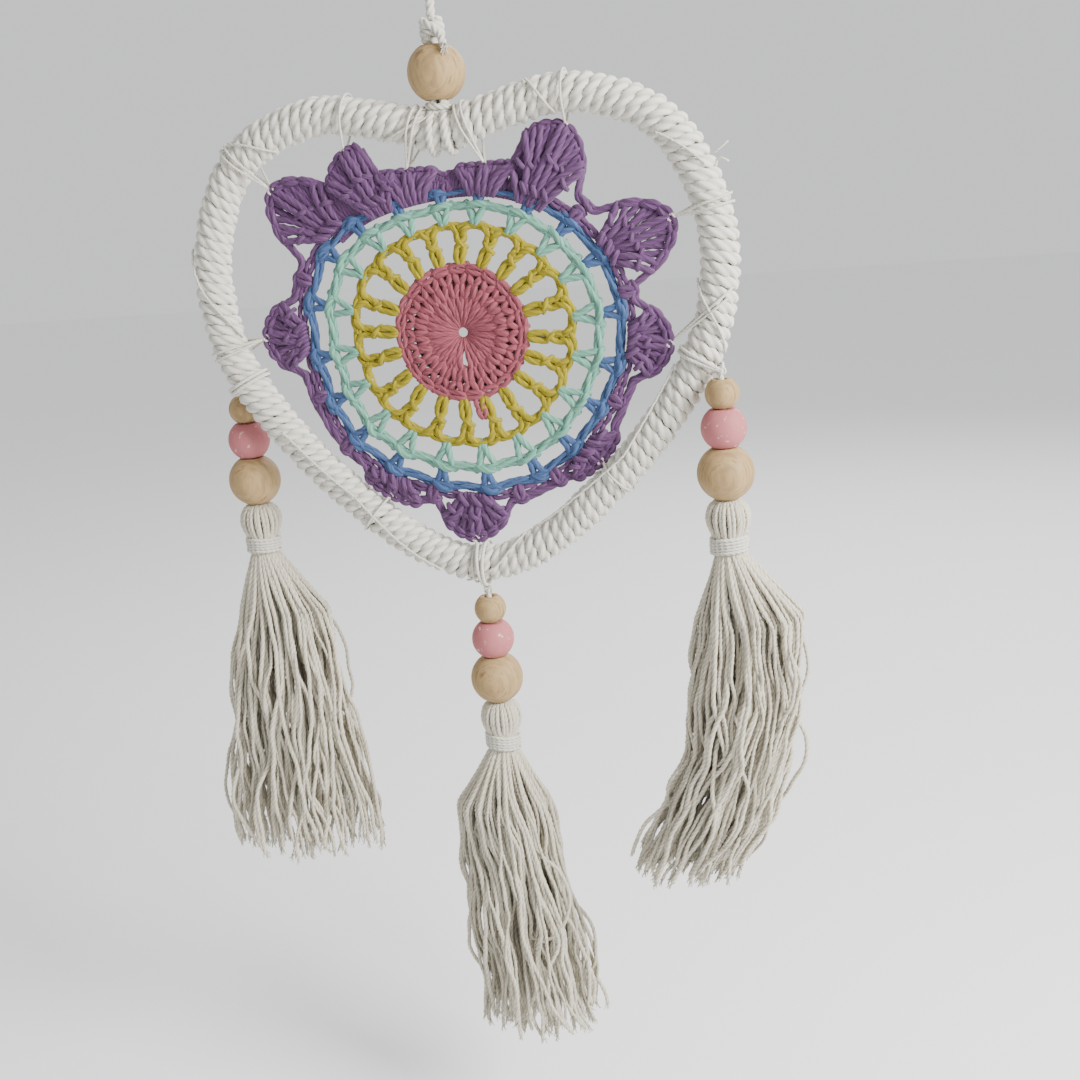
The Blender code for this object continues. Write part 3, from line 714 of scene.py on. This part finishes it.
# The second colour of each yarn is painted shade where its plies meet, and also the colour of its darker
# streaks.
ROSE = yarn("pink_yarn", (0.36, 0.085, 0.115), (0.07, 0.008, 0.014))
pink = Strands()
for stitch in range(PINK_STITCHES):
    angle = 360 * (stitch + 0.5) / PINK_STITCHES + 8
    off_gap = off_angle(angle, GAP_ANGLE)
    part = 0.0
    if abs(off_gap) < GAP_HALF:
        part = math.copysign(2.4 * (1 - abs(off_gap) / GAP_HALF), off_gap)
    for side in (-1, 1):
        steps = [(0.2 * side, 1.9, -1.3), (0.42 * side, 3.6, -0.3),
                 (0.62 * side + part * 0.4, 6.5, 0.5),
                 (0.92 * side + part, 10.0, 0.7), (0.95 * side + 0.3 + part * 0.6, 13.2, 0.5),
                 (0.5 * side + 0.9, 15.6, -0.5)]
        thick = np.interp(np.linspace(0, 1, 24), (0, 0.25, 0.6, 1), (0.5, 0.72, 1.25, 1.2))
        points = []
        for across, out, front in steps:
            across += chance.uniform(-0.14, 0.14)
            points.append(web_place(angle + math.degrees(across / out), out,
                                    front + chance.uniform(-0.2, 0.2)))
        line = smooth_line(points, YARN_STEP)
        widths = np.interp(np.linspace(0, 1, len(line)), np.linspace(0, 1, 24), thick) * MM
        pink.lay(line, widths, turn=chance.uniform(0, 6), **YARN_PLIES)
    for row, (low, high, wide, front) in enumerate(((12.3, 17.6, 1.7, 0.95),
                                                    (16.4, 21.0, 2.0, 0.75))):
        turned_by = angle + 180 * row / PINK_STITCHES
        for side in (-1, 1):
            steps = [(0.15 * side, low, front - 1.0), (0.5 * side, low + 1.4, front),
                     (0.75 * wide * side, high - 1.6, front + 0.2),
                     (wide * side, high, front - 0.7)]
            worked(pink, turned_by, steps, YARN_RADIUS, chance)
        for lean in (-1, 1):
            steps = [(-1.9 * lean, low + 0.6, -1.2), (-0.4 * lean, low + 2.4, -1.5),
                     (1.0 * lean, high - 1.0, -1.5), (2.4 * lean, high + 0.6, -1.0)]
            worked(pink, turned_by, steps, YARN_RADIUS, chance)
    chain_link(pink, angle, angle + 360 / PINK_STITCHES, 22.7, 1.05, 1.15 * MM, chance, 0.5)
    worked(pink, angle, [(-1.6, 19.6, -0.9), (-0.9, 21.3, 0.3), (0.2, 22.9, 0.5),
                         (1.2, 24.3, -0.6)], YARN_RADIUS, chance)
for out in (25.0, 28.2):
    for side in (-1, 1):
        worked(pink, -81, [(0.1 * side, out - 1.6, 0.2), (1.2 * side, out, 1.2),
                           (1.1 * side, out + 1.8, 1.3), (0.1 * side, out + 3.2, 0.5)],
               EDGE_YARN, chance)
web_round(pink, "pink", ROSE)


# Yellow round. Twenty tall stitches pulled up through the rose rim: each is a long loop
# that twists halfway, with a yarn-over round it, and opens into a bridge of chain.
STITCHES = 20
MUSTARD = yarn("yellow_yarn", (0.38, 0.31, 0.004), (0.07, 0.05, 0.001))
HALF_STITCH = 180 / STITCHES
stitch_angles = [360 / STITCHES * (number + 0.75) for number in range(STITCHES)]
stitch_gaps = list(zip(stitch_angles, stitch_angles[1:] + [stitch_angles[0] + 360]))


def tall_stitch(strands, angle, low, high, wide, chance):
    """A looped pair of strands from low to high that crosses over halfway."""
    middle = (low + high) / 2
    lean = chance.uniform(-0.7, 0.7)
    for side in (-1, 1):
        steps = [(0.0, low - 0.7, -0.9), (0.55 * side, low + 0.2, 0.8),
                 (wide * side, low + 2.4, 1.0), (wide * side + lean * 0.5, middle - 1.2, 0.7),
                 (0.15 * side + lean, middle + 0.6, 0.4 + 0.7 * side),
                 (-wide * side + lean, middle + 2.8, 0.5),
                 (-1.1 * wide * side + lean * 0.5, high - 1.2, 0.3),
                 (-1.3 * wide * side, high + 0.5, -0.7)]
        worked(strands, angle, steps, YARN_RADIUS, chance)
    worked(strands, angle, [(-0.2, low + 0.4, -1.2), (0.5, middle - 2, -1.3),
                            (-0.4, middle + 2, -1.2), (0.4, high - 0.5, -1.0)],
           FINE_YARN, chance)
    worked(strands, angle, [(-1.7 + lean, middle - 0.9, -0.8), (-1.5 + lean, middle - 0.6, 0.7),
                            (0.1 + lean, middle + 0.8, 1.75), (1.6 + lean, middle + 2.1, 0.8),
                            (1.8 + lean, middle + 2.4, -0.7)], FINE_YARN, chance)


def bridge(strands, start, end, out, chance, sag=0.5, count=3, radius=YARN_RADIUS):
    """Strands of chain that join one stitch to the next, twisting over one another."""
    span = end - start
    for number in range(count):
        phase = math.tau * number / count + chance.uniform(-0.3, 0.3)
        points = []
        for step in range(7):
            share = step / 6
            swirl = phase + 3.4 * share
            beside = 0.95 * math.cos(swirl) - sag * math.sin(math.pi * share)
            points.append(web_place(start + span * (-0.06 + 1.12 * share), out + beside,
                                    0.95 * math.sin(swirl) + chance.uniform(-0.1, 0.1)))
        laid(strands, points, radius, chance)


yellow = Strands()
for angle in stitch_angles:
    angle += chance.uniform(-1.3, 1.3)
    tall_stitch(yellow, angle, 24.4, 38.6, 1.15, chance)
    for side in (-1, 1):
        worked(yellow, angle, [(0.6 * side, 36.0, 0.2), (1.7 * side, 38.2, 0.9),
                               (3.4 * side, 39.8, 0.6), (5.2 * side, 39.9, -0.5)],
               YARN_RADIUS, chance)
for start, end in stitch_gaps:
    bridge(yellow, start, end, 39.0, chance, sag=-1.5, count=3, radius=FINE_YARN)
web_round(yellow, "yellow", MUSTARD)


# Mint round. Each stitch stands on a yellow bridge as a narrow stem, splits into two
# legs round a three-cornered hole and closes under a bar of chain.
MINT = yarn("mint_yarn", (0.20, 0.45, 0.34), (0.03, 0.10, 0.075))


def split_stitch(strands, angle, low, high, wide, chance):
    """A stitch that opens upwards like the letter V, with a bar across its top."""
    for side in (-1, 1):
        steps = [(0.0, low - 0.8, -0.8), (0.55 * side, low + 0.2, 0.7),
                 (0.85 * side, low + 2.2, 0.9), (0.62 * wide * side, (low + high) / 2 + 1, 0.5),
                 (wide * side, high - 1.2, 0.1), (1.25 * wide * side, high + 0.3, -0.7)]
        worked(strands, angle, steps, YARN_RADIUS, chance)
    lean = chance.choice((-1, 1))
    worked(strands, angle, [(-0.9 * lean, low + 0.6, -0.9), (0.1 * lean, low + 2.6, -0.9),
                            (0.6 * wide * lean, high - 3.2, -0.6), (wide * lean, high - 0.8, -0.3)],
           FINE_YARN, chance)
    steps = [(-1.2 * wide * lean, high - 0.9, 0.2), (-0.4 * wide * lean, high - 0.2, 1.3),
             (0.5 * wide * lean, high - 1.0, 1.2), (1.2 * wide * lean, high - 2.0, 0.1)]
    worked(strands, angle, steps, YARN_RADIUS, chance)


mint = Strands()
for angle in stitch_angles:
    angle += HALF_STITCH + chance.uniform(-1.2, 1.2)
    split_stitch(mint, angle, 40.8, 51.0, 3.5, chance)
for start, end in stitch_gaps:
    bridge(mint, start + HALF_STITCH, end + HALF_STITCH, 50.6, chance, sag=1.3, count=3, radius=FINE_YARN)
web_round(mint, "mint", MINT)


# Blue round. Short stitches in a darker, tighter yarn, set on the mint bars; the loops of
# chain between them leave small round holes.
DENIM = yarn("blue_yarn", (0.06, 0.125, 0.29), (0.008, 0.018, 0.055))
blue = Strands()
for angle in stitch_angles:
    angle += HALF_STITCH + chance.uniform(-1.5, 1.5)
    split_stitch(blue, angle, 50.9, 58.8, 2.6, chance)
    chain_link(blue, angle - 3.0, angle + 3.4, 58.2, 1.2, FINE_YARN, chance, 0.6)
for start, end in stitch_gaps:
    bridge(blue, start + HALF_STITCH, end + HALF_STITCH, 58.4, chance, sag=1.5, count=3, radius=0.95 * MM)
web_round(blue, "blue", DENIM)


# Purple round. Fans of seven stitches spring from one spot on the blue round; chains run
# from fan to fan and dip to a single stitch between them. Thread pulls each tip outwards,
# and a band of tightly packed stitches fills the space under the notch.
MAUVE = yarn("purple_yarn", (0.145, 0.058, 0.165), (0.02, 0.005, 0.026))
NOTCH_BAND = 57.9
EDGE_CHAIN_RADIUS = 67.0
SHELL_HALF_ANGLE = 13.0
NOTCH_SHELLS = (76, 104)
CLOSE_SHELLS = 22
FAR_SHELLS = 45
CHAIN_START = 8.5
CHAIN_DEPTH = 6
SHELLS = [(-91.5, 77.0), (-46, 69.0), (-6, 76.0), (24, 86.0), (57, 81.0), (76, 80.0),
          (104, 80.0), (119, 75.5), (140, 86.0), (178, 76.0), (240, 69.0)]


def edge_radius(angle):
    """The web's outer edge in mm: a chain between fans, a point on each fan."""
    radius = EDGE_CHAIN_RADIUS
    for shell, reach in SHELLS:
        off = abs(off_angle(angle, shell))
        if off < SHELL_HALF_ANGLE:
            rise = math.cos(math.radians(90 * off / SHELL_HALF_ANGLE))
            radius = max(radius, EDGE_CHAIN_RADIUS + (reach - EDGE_CHAIN_RADIUS) * rise)
    upward = math.sin(math.radians(angle))
    if upward > 0.8 and abs(off_angle(angle, NOTCH_ANGLE)) < 24:
        radius = min(radius, NOTCH_BAND / upward)
    return radius


def edge_place(angle, inward, front):
    """A point set in from the web's edge."""
    turn = math.radians(angle)
    front += 0.8 * math.sin(3 * turn + 0.5) + 0.5 * math.sin(7 * turn)
    out = (edge_radius(angle) - inward) * MM
    return web_middle + Vector((out * math.cos(turn), -front * MM, out * math.sin(turn)))


def behind(depth):
    """A shift of so many mm towards the back."""
    return Vector((0, depth * MM, 0))


def fan(strands, shell, chance, posts=7):
    """Stitches that share a base and spread to the fan's top, with chain along the top."""
    crowded = 50 < shell < 125
    base_out = 54.5 if crowded else 59.6
    for post in range(posts):
        share = post / (posts - 1) * 2 - 1
        base = shell + 4.0 * share
        tip = shell + (9.0 + chance.uniform(-0.4, 0.4)) * share
        front = 0.8 * math.cos(post * 2.2) + (1.5 if crowded else 0.3)
        for side in (-1, 1):
            low = web_place(base + 0.45 * side, base_out, front - 0.9)
            high = edge_place(tip + 0.68 * side, 2.6, front)
            across = (high - low).cross(Vector((0, 1, 0))).normalized()
            bulge = across * side * 0.5 * MM + across * share * -1.1 * MM
            points = [low, low.lerp(high, 0.3) + bulge + behind(-1.1),
                      low.lerp(high, 0.68) + bulge + behind(-0.7), high,
                      high + (high - low).normalized() * 0.8 * MM + behind(1.2)]
            line = smooth_line(points, YARN_STEP)
            widths = np.interp(np.linspace(0, 1, len(line)), (0, 0.4, 1), (0.95, 1.45, 1.3)) * MM
            strands.lay(line, widths, turn=chance.uniform(0, 6), **YARN_PLIES)
        if shell not in NOTCH_SHELLS:
            inner = web_place(base * 0.45 + tip * 0.55, 59.6, front)
            outer = edge_place(base * 0.25 + tip * 0.75, 2.6, front)
            crossing = inner.lerp(outer, 0.5 + chance.uniform(-0.08, 0.08))
            along = (outer - inner).normalized()
            beside = along.cross(Vector((0, 1, 0)))
            over = [crossing + beside * aside * MM + along * ahead * MM + behind(back)
                    for aside, ahead, back in ((-1.9, -1.1, 0.8), (-1.3, -0.8, -1.0),
                                               (0, 0, -1.8), (1.3, 0.8, -1.0), (1.9, 1.1, 0.8))]
            strands.lay(smooth_line(over, YARN_STEP), 0.95 * MM, **YARN_PLIES)
            low = web_place(base - 0.8, 60.4, front + 0.2)
            high = web_place(base + 1.5, 63.4, front + 0.2)
            points = [low + behind(1.4), low + behind(-0.9),
                      high + behind(-1.0), high + behind(1.4)]
            strands.lay(smooth_line(points, YARN_STEP), FINE_YARN, **YARN_PLIES)
    for step in range(-3, 3):
        start = shell + step * 3.3
        steps = [(-0.1, 0.0, -0.5), (0.3, 0.9, 0.4), (0.75, 0.9, 0.7), (1.1, 0.2, -0.3),
                 (0.75, -0.9, 0.7), (0.3, -0.9, 0.4), (-0.1, 0.0, -0.5)]
        points = [edge_place(start + 3.3 * share, 1.5 + 1.1 * beside, rise + 0.6
                             + chance.uniform(-0.15, 0.15)) for share, beside, rise in steps]
        laid(strands, points, EDGE_YARN, chance)


purple = Strands()
shells = sorted(shell for shell, _ in SHELLS)
for shell, following in zip(shells, shells[1:] + [shells[0] + 360]):
    fan(purple, shell, chance)
    apart = following - shell
    dips = 0 if apart < CLOSE_SHELLS else 2 if apart > FAR_SHELLS else 1
    stops = [shell + apart * (dip + 1) / (dips + 1) for dip in range(dips)]
    stops = [shell + CHAIN_START] + stops + [following - CHAIN_START]
    for dip in stops[1:-1]:
        for side in (-1, 1):
            worked(purple, dip, [(0.1 * side, 58.0, -0.8), (0.9 * side, 59.2, 0.9),
                                 (1.2 * side, 61.6, 1.1), (0.2 * side, 63.6, 0.6)],
                   YARN_RADIUS, chance)
        chain_link(purple, dip - 1.7, dip + 1.9, 63.2, 1.2, EDGE_YARN, chance, 0.5)
    for start, end in zip(stops, stops[1:]):
        low = 2.4 if dips else 1.2
        for strand in range(3):
            phase = 2.1 * strand + chance.uniform(-0.3, 0.3)
            points = []
            for step in range(9):
                share = step / 8
                angle = start + (end - start) * (-0.04 + 1.08 * share)
                swirl = phase + 0.09 * (angle - start) * 2.2
                clear = min(1.0, (angle - shell - CHAIN_DEPTH) / CHAIN_DEPTH,
                            (following - CHAIN_DEPTH - angle) / CHAIN_DEPTH)
                dip_in = 1.0 + low * max(clear, 0)
                points.append(edge_place(angle, dip_in + 0.85 * math.cos(swirl),
                                         0.85 * math.sin(swirl)))
            laid(purple, points, EDGE_YARN, chance)
    if dips:
        links = int((apart - 12) / 4.4)
        for link in range(links):
            start = shell + 6 + (apart - 12) * link / links
            end = start + (apart - 12) / links
            chain_link(purple, start, end, 60.6, 1.0, 1.0 * MM, chance, 0.0)
for stitch in range(36):
    angle = 59.0 + 2.3 * stitch
    lean = chance.uniform(-1.3, 1.3)
    for side in (-1, 1):
        low = web_place(angle + 0.55 * side, 54.6, -0.6)
        high = edge_place(angle + lean + 0.7 * side, 2.3, -0.1)
        middle = low.lerp(high, 0.5) + behind(-0.9)
        laid(purple, [low, middle, high], 1.3 * MM, chance, spacing=2 * YARN_STEP)
stray = [web_place(-98, 63, 0), web_place(-99, 66, 1.5), web_place(-97, 69, 0.5),
         web_place(-99, 72, 1.0)]
purple.lay(smooth_line(stray, YARN_STEP), 1.0 * MM, **YARN_PLIES)
web_round(purple, "purple", MAUVE)


# Lashing. A single cotton thread ties every fan to the frame: once or twice round the tube,
# through the tip, then on along or across the wrapping to the next fan.
THREAD_RADIUS = 0.5 * MM
# The second colour is painted shade between the plies, and also the colour of the darker fibre streaks.
THREAD = cotton("lashing_thread", (0.72, 0.695, 0.61), (0.30, 0.265, 0.20))
WRAP_OUTSIDE = 7.1
RAISED_SHELL = -6
RAISED_BY = Vector((0, 0, 9 * MM))


def thread(strands, points, chance, radius=THREAD_RADIUS, shake=0.0):
    """Two-ply thread through points; shake moves each of them about."""
    moved = [Vector(point) + scattered(chance, shake) for point in points]
    strands.lay(smooth_line(moved, 0.7 * MM), radius, plies=2, lay=3 * MM, sides=6, lobe=0.25)


def tie_round(rim, along, turns):
    """Thread drawn tight from a fan's tip round the tube and back, turns times."""
    centre, heading = on_heart(np.array([along]))
    centre = Vector(centre[0])
    heading = Vector(heading[0])
    toward = rim - centre
    toward.y = 0
    toward.normalize()
    lashing = []
    for turn in range(turns):
        aside = heading * (turn - (turns - 1) / 2) * 1.9 * MM
        lashing.append(rim + behind(-1.2) - toward * (0.8 + 0.9 * turn) * MM)
        for step in range(9):
            angle = math.radians(62 + (360 - 124) * step / 8)
            reach = (WRAP_OUTSIDE + 0.35) * MM
            round_tube = toward * math.cos(angle) - Vector((0, 1, 0)) * math.sin(angle)
            lashing.append(centre + aside * (1 + step / 8) + round_tube * reach)
        lashing.append(rim + behind(1.3) - toward * (0.9 + 0.9 * turn) * MM)
    return lashing


lashed = Strands()
tie_nodes = [f"web_tie_{number:02d}" for number in range(1, 12)]
for number, (shell, _) in enumerate(SHELLS):
    rim = edge_place(shell, 1.2, 0)
    raised = shell == RAISED_SHELL
    along = near_heart(rim + RAISED_BY if raised else rim)
    if raised:
        along = near_heart(Vector(on_heart(np.array([along]))[0][0]) + RAISED_BY)
    points = tie_round(rim, along, turns=1 if number % 3 == 1 else 2)
    thread(lashed, points, chance)
    knot = [rim + Vector((math.cos(turn) * 1.2, -1.5 - 0.5 * math.sin(2 * turn),
                          math.sin(turn) * 1.2)) * MM for turn in (0, 1.3, 2.6, 3.9, 5.2, 6.4)]
    thread(lashed, knot, chance)


def along_tube(start, end, turn_from, turn_to, count=26):
    """A thread lying on the wrapping, from one place and side of the tube to another."""
    share = np.linspace(0, 1, count)
    place, heading = on_heart(start + (end - start) * share)
    outward = np.cross(heading, (0.0, 1.0, 0.0))
    turn = np.radians(turn_from + (turn_to - turn_from) * share)
    bumps = 0.15 * np.sin(np.arange(count) * 2.4)
    reach = ((WRAP_OUTSIDE + 0.25 + bumps) * MM)[:, None]
    front = np.array((0.0, -1.0, 0.0))
    return place + reach * (np.cos(turn)[:, None] * outward + np.sin(turn)[:, None] * front)


runs = [(-0.035, -0.002, 150, 30), (0.145, 0.178, 120, 60), (0.245, 0.285, 175, 20),
        (0.305, 0.372, 165, 120), (0.372, 0.455, 120, 165), (0.462, 0.51, 160, 40),
        (0.525, 0.60, 60, 110), (0.60, 0.665, 110, 100), (0.735, 0.795, 165, 15),
        (0.86, 0.885, 40, 150), (0.06, 0.075, 30, 155)]
for start, end, turn_from, turn_to in runs:
    thread(lashed, along_tube(start * heart_round, end * heart_round, turn_from, turn_to), chance)
tail_root = on_heart(np.array([0.175 * heart_round]))[0][0]
for rise in (0.0, 3.2):
    root = Vector(tail_root) + Vector((6.6, -1.5, rise)) * MM
    ends = [root, root + Vector((2.2, -0.8, 1.4)) * MM,
            root + Vector((4.8, -0.6, 0.2 + rise)) * MM]
    thread(lashed, ends, chance, 0.4 * MM)
lashing = lashed.piece("lashing_thread_run", THREAD)
fitted(lashing, "heart", "cotton_cord", *tie_nodes)


# Drop fixings. Each drop hangs from a thin doubled cord tied round the frame; a small
# knot on it carries the beads' own cord, so the drop swings freely.
TIE_THREAD = 0.75 * MM
DROP_CORD_RADIUS = 1.3 * MM
SIDES = ("left", "right", "bottom")
for side in SIDES:
    hang = middle_of(f"{side}_knot")
    ties = Strands()
    if side == "bottom":
        low, high = corners_of("bottom_tie")
        centre = (low + high) / 2
        reach = (high.z - low.z) / 2 - 0.6 * MM
        for aside in (-0.9, 0.9):
            ring = [centre + Vector((aside * (1 + 0.6 * math.cos(turn)) * MM,
                                     math.sin(turn) * reach, math.cos(turn) * reach))
                    for turn in (math.radians(step) for step in range(-176, 177, 16))]
            thread(ties, ring, chance, TIE_THREAD)
    else:
        along = near_heart(hang)
        place, heading = on_heart(np.array([along]))
        centre = Vector(place[0])
        toward = hang - centre
        toward.normalize()
        across = toward.cross(Vector(heading[0])).normalized()
        for aside in (-0.8, 0.8):
            shift = Vector(heading[0]) * aside * MM
            ring = [hang + toward * 0.7 * MM + shift * 0.2]
            for step in range(13):
                turn = math.radians(58 + (360 - 116) * step / 12)
                spot = toward * math.cos(turn) + across * math.sin(turn)
                ring.append(centre + shift + spot * 7.9 * MM)
            ring.append(hang + toward * 0.8 * MM + shift * 0.2)
            thread(ties, ring, chance, TIE_THREAD)
    tie = ties.piece(f"{side}_tie_cord", COTTON)
    fitted(tie, "heart", "cotton_cord", f"{side}_tie")
    knots = Strands()
    overhand_knot(knots, hang, 1.45 * MM, 0.65 * MM, chance)
    knot = knots.piece(f"{side}_knot_tied", COTTON)
    fitted(knot, f"{side}_hinge", "cotton_cord", f"{side}_knot")
    low, high = corners_of(f"{side}_cord")
    cords = Strands()
    route = smooth_line([(hang.x, hang.y, low.z + (hang.z - low.z) * step / 6)
                         for step in range(7)], 0.6 * MM)
    below = (hang.z - route[:, 2]) / MM
    widths = np.interp(below, (0.0, 1.6, 3.2), (0.5, 0.65, 1.0)) * DROP_CORD_RADIUS
    cords.lay(route, widths, lay=6 * MM, sides=10)
    cord = cords.piece(f"{side}_bead_cord", COTTON)
    fitted(cord, f"{side}_line", "cotton_cord", f"{side}_cord")


# Drop beads. Three beads slide on each cord: a small bare one, a pink painted one and a
# large bare one.
PINK_PAINT = painted_wood("pink_painted_wood", (0.46, 0.15, 0.16), (0.70, 0.50, 0.42))
BEADS = {"small_bead": (1.85 * MM, "natural_wood", WOOD),
         "pink_bead": (1.85 * MM, "pink_paint", PINK_PAINT),
         "large_bead": (2.75 * MM, "natural_wood", WOOD)}
for side in SIDES:
    for bead, (bore, slot, material) in BEADS.items():
        turned_bead(f"{side}_{bead}", bore, slot, material, chance)


# Tassel heads. A hank of soft cotton is folded over the end of the cord, so its strands
# come up out of the middle, turn over the shoulder and run down to the neck.
TASSEL_STRAND = 0.92 * MM
OUTER_STRANDS = 30
INNER_STRANDS = 18
# The second colour is painted shade between the plies, and also the colour of the darker fibre streaks.
TASSEL_COTTON = cotton("tassel_cotton", (0.70, 0.655, 0.535), (0.27, 0.225, 0.145), streak=0.6)
head_tops = {}
for side in SIDES:
    low, high = corners_of(f"{side}_tassel_head")
    middle = (low + high) / 2
    radius = (high.x - low.x) / 2 - 0.75 * MM
    top = Vector((middle.x, middle.y, high.z))
    head_tops[side] = top
    heads = Strands()
    for strand in range(OUTER_STRANDS + INNER_STRANDS):
        inner = strand >= OUTER_STRANDS
        count = INNER_STRANDS if inner else OUTER_STRANDS
        turn = math.tau * (strand + chance.uniform(-0.2, 0.2)) / count
        swirl = chance.uniform(-0.06, 0.10)
        wide = radius * (0.78 if inner else chance.uniform(0.95, 1.0))
        steps = [(1.9, -1.4, 0), (2.5, -0.9, 0), (0.55 * wide / MM, -0.95, 0.2),
                 (0.86 * wide / MM, -2.9, 0.5), (wide / MM, -6.4, 0.8), (0.93 * wide / MM, -9.6, 1),
                 (5.5, -12.6, 1), (5.0, -15.0, 1), (4.9, -19.4, 1)]
        points = []
        for out, down, share in steps:
            bearing = turn + swirl * share
            shift = Vector((out * math.cos(bearing), out * math.sin(bearing), down))
            points.append(top + shift * MM)
        heads.lay(smooth_line(points, 0.8 * MM), TASSEL_STRAND, lay=6 * MM, sides=8,
                  turn=chance.uniform(0, 6))
    head = heads.piece(f"{side}_head_strands", TASSEL_COTTON)
    fitted(head, f"{side}_tassel", "tassel_cotton", f"{side}_tassel_head")


# Tassel bindings. Five turns of thread pulled tight round the neck; the thread's end is
# tucked under its own turns. The right one has slipped a little out of level.
tilts = {"left": 0.05, "right": 0.16, "bottom": -0.06}
for side in SIDES:
    low, high = corners_of(f"{side}_tassel_binding")
    middle = (low + high) / 2
    bound = Strands()
    turns = 5
    height = high.z - low.z - 1.6 * MM
    steps = np.arange(turns * 20 + 1) / 20
    turn = math.tau * steps
    reach = (6.25 + 0.18 * np.interp(steps, range(turns + 1),
                                     [chance.uniform(-1, 1) for _ in range(turns + 1)])) * MM
    level_of_turn = np.floor(steps) + np.clip((steps % 1 - 0.7) / 0.3, 0, 1)
    drop = height * (level_of_turn / turns)
    line = np.stack((middle.x + reach * np.cos(turn), middle.y + reach * np.sin(turn),
                     high.z - 0.8 * MM - drop + tilts[side] * reach * np.cos(turn)), axis=1)
    bound.lay(line, 0.9 * MM, plies=3, lay=6 * MM, sides=9, lobe=0.16)
    binding = bound.piece(f"{side}_binding_turns", THREAD)
    fitted(binding, f"{side}_tassel", "cotton_cord", f"{side}_tassel_binding")


# Tassel skirts. A hundred and seventy soft, lightly twisted strands fall from each neck.
# They are crinkled from being balled up, of uneven length, and frayed at their cut ends.
SKIRT_STRANDS = 170
ROWS = 40
GOLDEN_ANGLE = 2.39996
LOCK_WAVES = (2.2, 1.1, 0.35, 0.0)
OWN_WAVES = (1.2, 0.55, 0.3, 0.22)
STRAY_WAVES = (4.0, 1.8, 0.6, 0.3)
SKIRTS = {"left": ([0, 4, 3, 2, 1.8, 1.8], [5.4, 19, 24.5, 28, 31.5, 33.5], 0.62),
          "right": ([0, 6, 4, 0, -9, -22], [5.4, 20, 20.5, 21, 22, 20], 0.75),
          "bottom": ([0, -2.5, -0.5, 1.5, 4, 5], [5.4, 19, 21.5, 22.5, 24.5, 26], 0.75)}
CRINKLE = {"left": 0.75, "right": 0.85, "bottom": 0.8}
LOCKS = 15


def waves_of(strengths, chance):
    """A wandering sideways shift down a strand: long waves with a finer crimp on them."""
    share = np.linspace(0, 1, ROWS)
    shift = np.zeros((ROWS, 3))
    for axis in (0, 1):
        for waves, strength in zip((1.3, 2.4, 4.6, 8.0), strengths):
            waves *= chance.uniform(0.8, 1.25)
            phase = chance.uniform(0, math.tau)
            shift[:, axis] += strength * np.sin(math.tau * waves * share + phase)
    return shift * np.clip(share * 2.2, 0, 1)[:, None]


for side in SIDES:
    spine, widths, depth = SKIRTS[side]
    low, high = corners_of(f"{side}_tassel_skirt")
    top = Vector((head_tops[side].x, head_tops[side].y, high.z + 1.5 * MM))
    length = (high.z - low.z + 1.5 * MM) / MM
    fringe = Strands()
    lock_waves = [waves_of(LOCK_WAVES, chance) for _ in range(LOCKS)]
    for strand in range(SKIRT_STRANDS):
        out = ((strand + 0.5) / SKIRT_STRANDS) ** 0.40
        bearing = GOLDEN_ANGLE * strand
        lock = int(bearing / (math.tau) * LOCKS) % LOCKS
        cut = length * chance.uniform(0.93, 1.0)
        wander = chance.uniform(-0.3, 0.3)
        stray = chance.random() < 0.15
        share = np.linspace(0, 1, ROWS)
        down = share * cut
        centre = np.interp(down / length, np.linspace(0, 1, len(spine)), spine)
        spread = np.interp(down / length, np.linspace(0, 1, len(widths)), widths) - 1.0
        if stray:
            spread = spread * (1 + 0.05 * share)
        turn = bearing + wander * share * 2
        flat = depth + (1 - depth) * np.clip(1 - share * 5, 0, 1)
        points = np.stack((centre + out * spread * np.cos(turn),
                           out * spread * np.sin(turn) * flat, -down), axis=1)
        points = np.array(top) + points * MM
        own_waves = waves_of(STRAY_WAVES if stray else OWN_WAVES, chance)
        points = points + (lock_waves[lock] + own_waves) * CRINKLE[side] * MM
        line = smooth_line(points, 1.4 * MM)
        thick = TASSEL_STRAND * chance.uniform(0.8, 1.05)
        fringe.lay(line, thick, plies=3, lay=7 * MM, sides=6, lobe=0.2,
                   turn=chance.uniform(0, 6), ends=0.0)
        frayed_end(fringe, line[-1], line[-1] - line[-4], 3.0 * MM, chance, 0.3 * MM, 5)
    if side == "bottom":
        loop = [(8, -4, -40), (13, -8, -44), (20, -9, -50), (23, -9, -62), (19, -10, -74),
                (11, -11, -80), (5, -10, -78)]
        points = [top + Vector(point) * MM for point in loop]
        fringe.lay(smooth_line(points, 0.9 * MM), 0.85 * MM, lay=7 * MM, sides=8)
    skirt = fringe.piece(f"{side}_skirt_strands", TASSEL_COTTON)
    fitted(skirt, f"{side}_tassel", "tassel_cotton", f"{side}_tassel_skirt")
